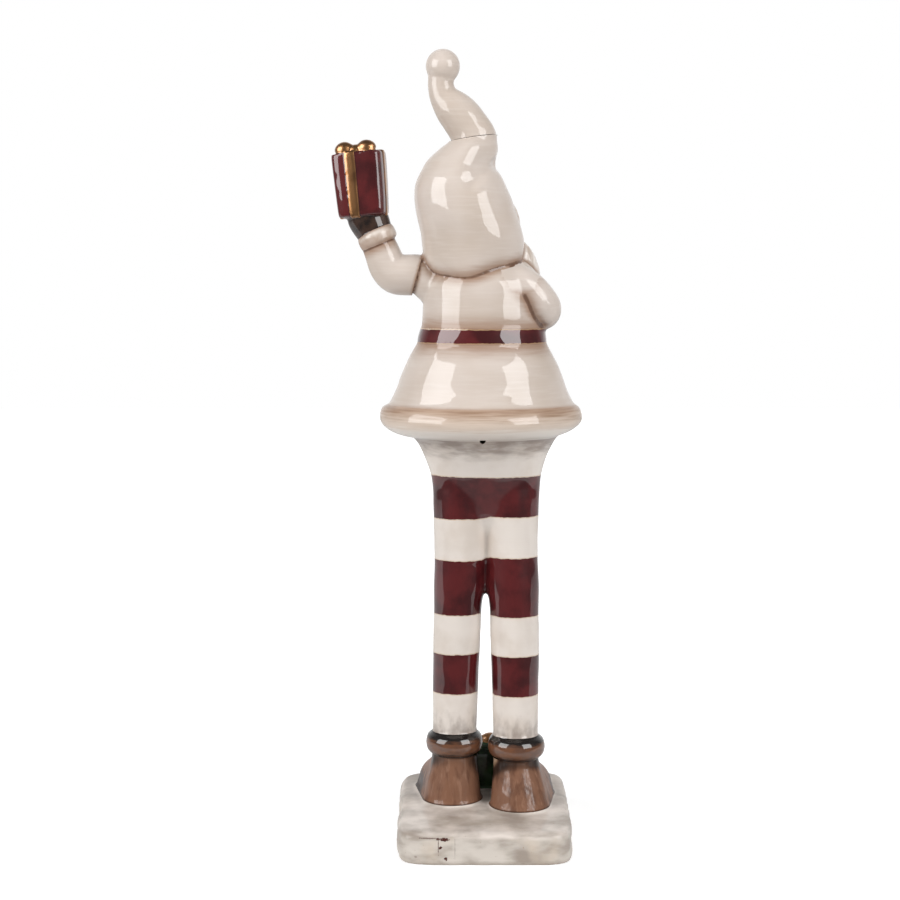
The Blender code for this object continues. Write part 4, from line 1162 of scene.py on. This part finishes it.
def band_paint(bench):
    """Dark leather, brown in the middle and black at its upper and lower rims."""
    strokes = bench.times(bench.minus(bench.clouds(2.0, 4.0, (4, 4, 0.6)), 0.5), 5.0)
    off_middle = bench.math("ABSOLUTE", bench.minus(bench.plus(bench.axis(2), strokes), BAND_MIDDLE))
    brown = mottled(bench, BAND_BROWN, BOOT_DARK, 5.0, 0.4, 0.6, (1.5, 1.5, 0.5))
    return bench.mix(bench.ramp(off_middle, 2.0, 5.0), brown, BLACK)


print("chips on the plinth:", len(CHIPS))

# %% [markdown]
# The stockings are white, with grey dust brushed on above the boots, and greyer under the hem. The hem's roll
# is brown on top and pale at its lip.

# %% Stockings and hem
STOCKING, STOCKING_WARM, STOCKING_GREY = paint(220, 211, 203), paint(210, 199, 189), paint(124, 109, 100)
HEM_BROWN, HEM_BROWN_DARK, HEM_LOW = paint(174, 149, 130), paint(150, 123, 102), paint(203, 187, 173)
HEM_LIP, HEM_CREASE = paint(220, 211, 202), paint(112, 80, 60)


def greyed_band(bench, streaks, slant, heights, patches, least):
    """Where grey goes: between two heights, in streaks."""
    where = bench.ramp(bench.plus(bench.axis(2), bench.times(streaks, slant)), *heights)
    return bench.times(where, bench.between(bench.ramp(streaks, *patches), least, 0.9))


def stocking_paint(bench):
    colour = mottled(bench, STOCKING, STOCKING_WARM, 18.0)
    streaks, cloud = bench.clouds(3.0, 5.0, (1.2, 1.2, 2.0)), bench.clouds(4.0, 4.0, (3.0, 3.0, 0.8))
    above_boots = greyed_band(bench, streaks, -18.0, (57, 37), (0.3, 0.6), 0.6)
    # greyer just under the hem
    under_hem = greyed_band(bench, cloud, 12.0, (201, 211), (0.35, 0.6), 0.62)
    return bench.mix(bench.times(bench.most(above_boots, under_hem), 0.9), colour, STOCKING_GREY)


def hem_paint(bench):
    strokes = bench.clouds(2.0, 4.0, (10, 10, 0.5))
    z = bench.plus(bench.axis(2), bench.times(bench.minus(strokes, 0.5), 6.0))
    colour = bench.mix(bench.ramp(strokes, 0.35, 0.7), HEM_BROWN, HEM_BROWN_DARK)
    colour = bench.mix(bench.ramp(z, 221.5, 214.0), colour, HEM_LOW)
    colour = bench.mix(bench.ramp(z, 213.5, 210.5), colour, HEM_LIP)
    upper = bench.times(bench.ramp(bench.field("crease"), 2.6, 1.2), bench.ramp(bench.axis(2), 219.0, 221.0))
    return bench.mix(bench.times(upper, 0.6), colour, HEM_CREASE)


print("dust:", [round(v, 2) for v in STOCKING_GREY[:3]])

# %% [markdown]
# Then the layers are laid over the cream in the painter's order, with painted shade in the creases: black on
# the leather, and brown wash with shade on the fur. Dark paints shine most, stone and the brushed leather of
# the boots least.

# %% Figure glaze
SKIN, CHEEK = paint(226, 186, 160), paint(206, 138, 118)
LEAF, LEAF_DARK = paint(40, 72, 34), paint(16, 32, 14)
DULL_GLOSS, BOOT_GLOSS = 0.35, (0.45, 0.08)


def figure_layers(bench, shake):
    """Paint's field, colour, shake, warm edge line and softness, in the order of painting."""
    return (
        ("hem", hem_paint(bench), 0.0, 0.0, 0.35),
        ("stocking", stocking_paint(bench), 0.0, 0.0, 0.3),
        ("maroon", mottled(bench, MAROON, MAROON_DARK, 14.0), shake, 0.35, 0.12),
        ("boot", boot_paint(bench), 0.0, 0.3, 0.2),
        ("band", band_paint(bench), 0.25, 0.0, 0.2),
        ("stone", stone_paint(bench), 0.0, 0.0, 0.2),
        ("green", mottled(bench, LEAF, LEAF_DARK, 8.0), shake, 0.0, 0.2),
        ("skin", SKIN, 0.0, 0.0, 0.3),
        ("nose", CHEEK, 0.0, 0.0, 0.4),
        ("fur", mottled(bench, FUR, FUR_SHADE, 5.0), 0.0, 0.0, 0.3),
        ("beard", mottled(bench, BEARD, FUR_SHADE, 3.0, 0.4, 0.7, (1, 1, 5)), 0.0, 0.0, 0.3),
        ("mitten", mottled(bench, MITTEN, MITTEN_DARK, 6.0), 0.0, 0.0, 0.2))


def figure_gloss(bench, masks):
    brushed = bench.ramp(bench.clouds(2.0, 3.0, (0.5, 0.5, 8.0)), 0.62, 0.40)
    boots = bench.between(bench.times(masks["boot"], brushed), *BOOT_GLOSS)
    dark_paints = bench.most(masks["maroon"], bench.most(masks["band"], masks["mitten"]))
    gloss = bench.between(dark_paints, CREAM_GLOSS, DARK_GLOSS)
    for name, level in (("stone", DULL_GLOSS), ("green", DULL_GLOSS), ("boot", boots)):
        gloss = bench.between(masks[name], gloss, level)
    return gloss


def figure_glaze(bench):
    colour, strokes = cream_ground(bench)
    masks = {}
    for name, new_colour, shake, line, softness in figure_layers(bench, edge_shake(bench)):
        colour, masks[name] = lay_paint(bench, colour, bench.field(name), new_colour, shake, line, softness)
    leather = bench.most(masks["boot"], masks["band"])
    # painted shade: black in the creases between boots, bands, stockings and plinth
    crease_shade = bench.times(leather, bench.ramp(bench.field("crease"), 1.9, 0.8))
    colour = bench.mix(bench.times(crease_shade, 0.9), colour, BLACK)
    # brown wash and painted shade in the creases of fur and beard
    colour = crease_wash_and_shade(bench, colour, bench.most(masks["fur"], masks["beard"]))
    colour, _ = gold_over(bench, colour, 0.0)
    colour = bench.mix(bench.ramp(bench.field("eye"), 1.7, 1.4), colour, BLACK)
    bench.put(figure_gloss(bench, masks), bench.shader.inputs["Coat Weight"])
    glaze_over(bench, colour, bench.between(masks["stone"], 0.40, 0.50), strokes, 0.3)


dress(figure, figure_glaze, "figure_glaze")

# %% [markdown]
# ## Onto the frame
# Each finished casting takes the place of its plain solid and rides on the figure's one body. The cut joint
# faces keep their sharp edges, and everything else is shaded smooth.

# %% Ride and replace
for piece, node, slot in ((figure, "figure_body", "figure_glaze"), (arm, "raised_arm", "arm_glaze"),
                          (tip, "hat_tip", "hat_glaze")):
    piece.data.shade_smooth()
    piece.data.set_sharp_from_angle(angle=math.radians(55))
    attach(piece, "root")
    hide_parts(node)
    low, high = (np.array(corner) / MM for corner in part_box(node))
    points = points_of(piece)
    over = (low - points.min(axis=0)).round(2), (points.max(axis=0) - high).round(2)
    print(piece.name, "over the solid's box by", *over)

# %% [markdown]
# ## Floor and light
# The photo is a cut-out on white. The floor is pale and shows white to the camera, but it keeps the soft
# shadow under the plinth. The glaze mirrors it at a quarter of its strength, and it sends a little light
# back up under the hem. The Light Path node tells the kinds of rays apart.

# %% Floor
FLOOR_SIZE, FLOOR_FRONT = 3.0, 0.14
SHADOW_REACH = 0.24
FLOOR_PAINT, FLOOR_LIFT = 0.6, 0.58
FLOOR_BOUNCE, FLOOR_MIRRORED = 0.30, 0.25
WHITE = (1.0, 1.0, 1.0, 1.0)


def seen_by(bench, *kinds):
    """1 for a ray of any of these kinds."""
    path = bench.node("ShaderNodeLightPath")
    hits = [path.outputs[f"Is {kind} Ray"] for kind in kinds]
    return bench.most(*hits) if len(hits) == 2 else hits[0]


def floor_paint(bench):
    sockets = bench.shader.inputs
    place = bench.node("ShaderNodeNewGeometry").outputs["Position"]
    spot = bench.fed("ShaderNodeVectorMath", (place,), (0,), operation="LENGTH").outputs["Value"]
    far = bench.ramp(spot, SHADOW_REACH / 2, SHADOW_REACH, FLOOR_LIFT, 1.0, "LINEAR")
    mirrored = bench.times(seen_by(bench, "Glossy"), FLOOR_MIRRORED)
    lift = bench.times(bench.plus(seen_by(bench, "Camera", "Transmission"), mirrored), far)
    bounce = bench.times(seen_by(bench, "Diffuse"), FLOOR_BOUNCE)
    bench.put(bench.plus(lift, bounce), sockets["Emission Strength"])
    bench.put(WHITE, sockets["Emission Color"])
    bench.put((FLOOR_PAINT, FLOOR_PAINT, FLOOR_PAINT, 1.0), sockets["Base Color"])
    bench.put(0.8, sockets["Roughness"])


bm = bmesh.new()
bmesh.ops.create_grid(bm, x_segments=2, y_segments=2, size=FLOOR_SIZE / 2)
floor_mesh = bpy.data.meshes.new("studio_floor")
bm.to_mesh(floor_mesh)
bm.free()
floor = bpy.data.objects.new("studio_floor", floor_mesh)
floor_bench = Bench(bpy.data.materials.new("studio_floor"))
floor_paint(floor_bench)
floor.location = (0.0, FLOOR_FRONT - FLOOR_SIZE / 2, CAD_BOX[0][2])
floor_mesh.materials.append(floor_bench.owner)
bpy.context.scene.collection.objects.link(floor)
print("floor:", FLOOR_SIZE, "m")

# %% [markdown]
# Two tall soft boxes beside the camera give each round form two upright highlights, the left one wider. A
# large lamp overhead fills from above and isn't mirrored. Around them are white paper behind the figure, a
# dim room behind the camera and a bright table below. The glaze mirrors the paper more strongly than it
# lights the figure, and the table more weakly. The camera sees plain white in place of all three.

# %% Soft boxes and surroundings
SOFT_BOXES = (  # azimuth from the camera's side, distance, height, width, tall, watts
    (60.0, 1.20, 0.68, 0.90, 0.95, 14.5), (-47.0, 1.20, 0.68, 0.75, 0.95, 12.7))
CEILING_WATTS, CEILING_PLACE, CEILING_SIZE = 11.0, (0.0, 0.55, 1.75), 1.6
LIGHT_TARGET = Vector((0.0, 0.0, 0.22))
PAPER_LEVEL, ROOM_LEVEL, TABLE_LEVEL, TABLE_MIRRORED = 0.40, 0.14, 1.15, 0.35
ROOM_START, TABLE_START = (-0.95, -0.35), (-0.42, -0.62)  # along y and z of the direction looked in


def area_lamp(name, place, width, tall, watts):
    lamp = bpy.data.lights.new(name, "AREA")
    lamp.shape = "RECTANGLE"
    lamp.size, lamp.size_y = width, tall
    lamp.energy = watts
    stand = bpy.data.objects.new(name, lamp)
    stand.location = place
    stand.rotation_euler = (LIGHT_TARGET - Vector(place)).to_track_quat("-Z", "Y").to_euler()
    bpy.context.scene.collection.objects.link(stand)
    return stand


def surroundings(bench):
    heading = bench.node("ShaderNodeSeparateXYZ")
    bench.put(bench.node("ShaderNodeTexCoord").outputs["Generated"], heading.inputs[0])
    mirrored = seen_by(bench, "Glossy")
    paper = bench.ramp(mirrored, 0.0, 1.0, PAPER_LEVEL, 1.0, "LINEAR")
    room = bench.ramp(heading.outputs["Y"], *ROOM_START, paper, ROOM_LEVEL, "LINEAR")
    table = bench.ramp(heading.outputs["Z"], *TABLE_START, 0.0, TABLE_LEVEL, "LINEAR")
    table = bench.times(table, bench.ramp(mirrored, 0.0, 1.0, 1.0, TABLE_MIRRORED, "LINEAR"))
    level = bench.between(seen_by(bench, "Camera", "Transmission"), bench.most(room, table), 1.0)
    bench.put(level, bench.shader.inputs["Strength"])
    bench.put(WHITE, bench.shader.inputs["Color"])


for azimuth, distance, height, width, tall, watts in SOFT_BOXES:
    turn = math.radians(azimuth)
    place = (math.sin(turn) * distance, math.cos(turn) * distance, height)
    area_lamp("soft_box", place, width, tall, watts)
ceiling = area_lamp("ceiling", CEILING_PLACE, CEILING_SIZE, CEILING_SIZE, CEILING_WATTS)
ceiling.visible_glossy = False
studio = bpy.data.worlds.new("studio")
bpy.context.scene.world = studio
surroundings(Bench(studio, "Background"))
bpy.context.scene.view_settings.view_transform = "Standard"
print("soft boxes:", len(SOFT_BOXES))

# %% [markdown]
# ## Camera
# The picture was taken from behind, a little above the belt and tilted down, from just under a metre. The
# lens is worked out so that the figure fills the frame as in the photo.

# %% Camera
CAMERA_PLACE = (0.0177, 0.892, 0.2885)
CAMERA_TILT = 5.7
FOCAL_PIXELS, FRAME_PIXELS, SENSOR = 1764, 900, 36.0
lens = bpy.data.cameras.new("camera")
lens.sensor_width = SENSOR
lens.lens = SENSOR * FOCAL_PIXELS / FRAME_PIXELS
camera = bpy.data.objects.new("camera", lens)
camera.location = CAMERA_PLACE
camera.rotation_euler = (math.radians(90 - CAMERA_TILT), 0.0, math.radians(180))
bpy.context.scene.collection.objects.link(camera)
bpy.context.scene.camera = camera
print("lens:", round(lens.lens, 2), "mm")
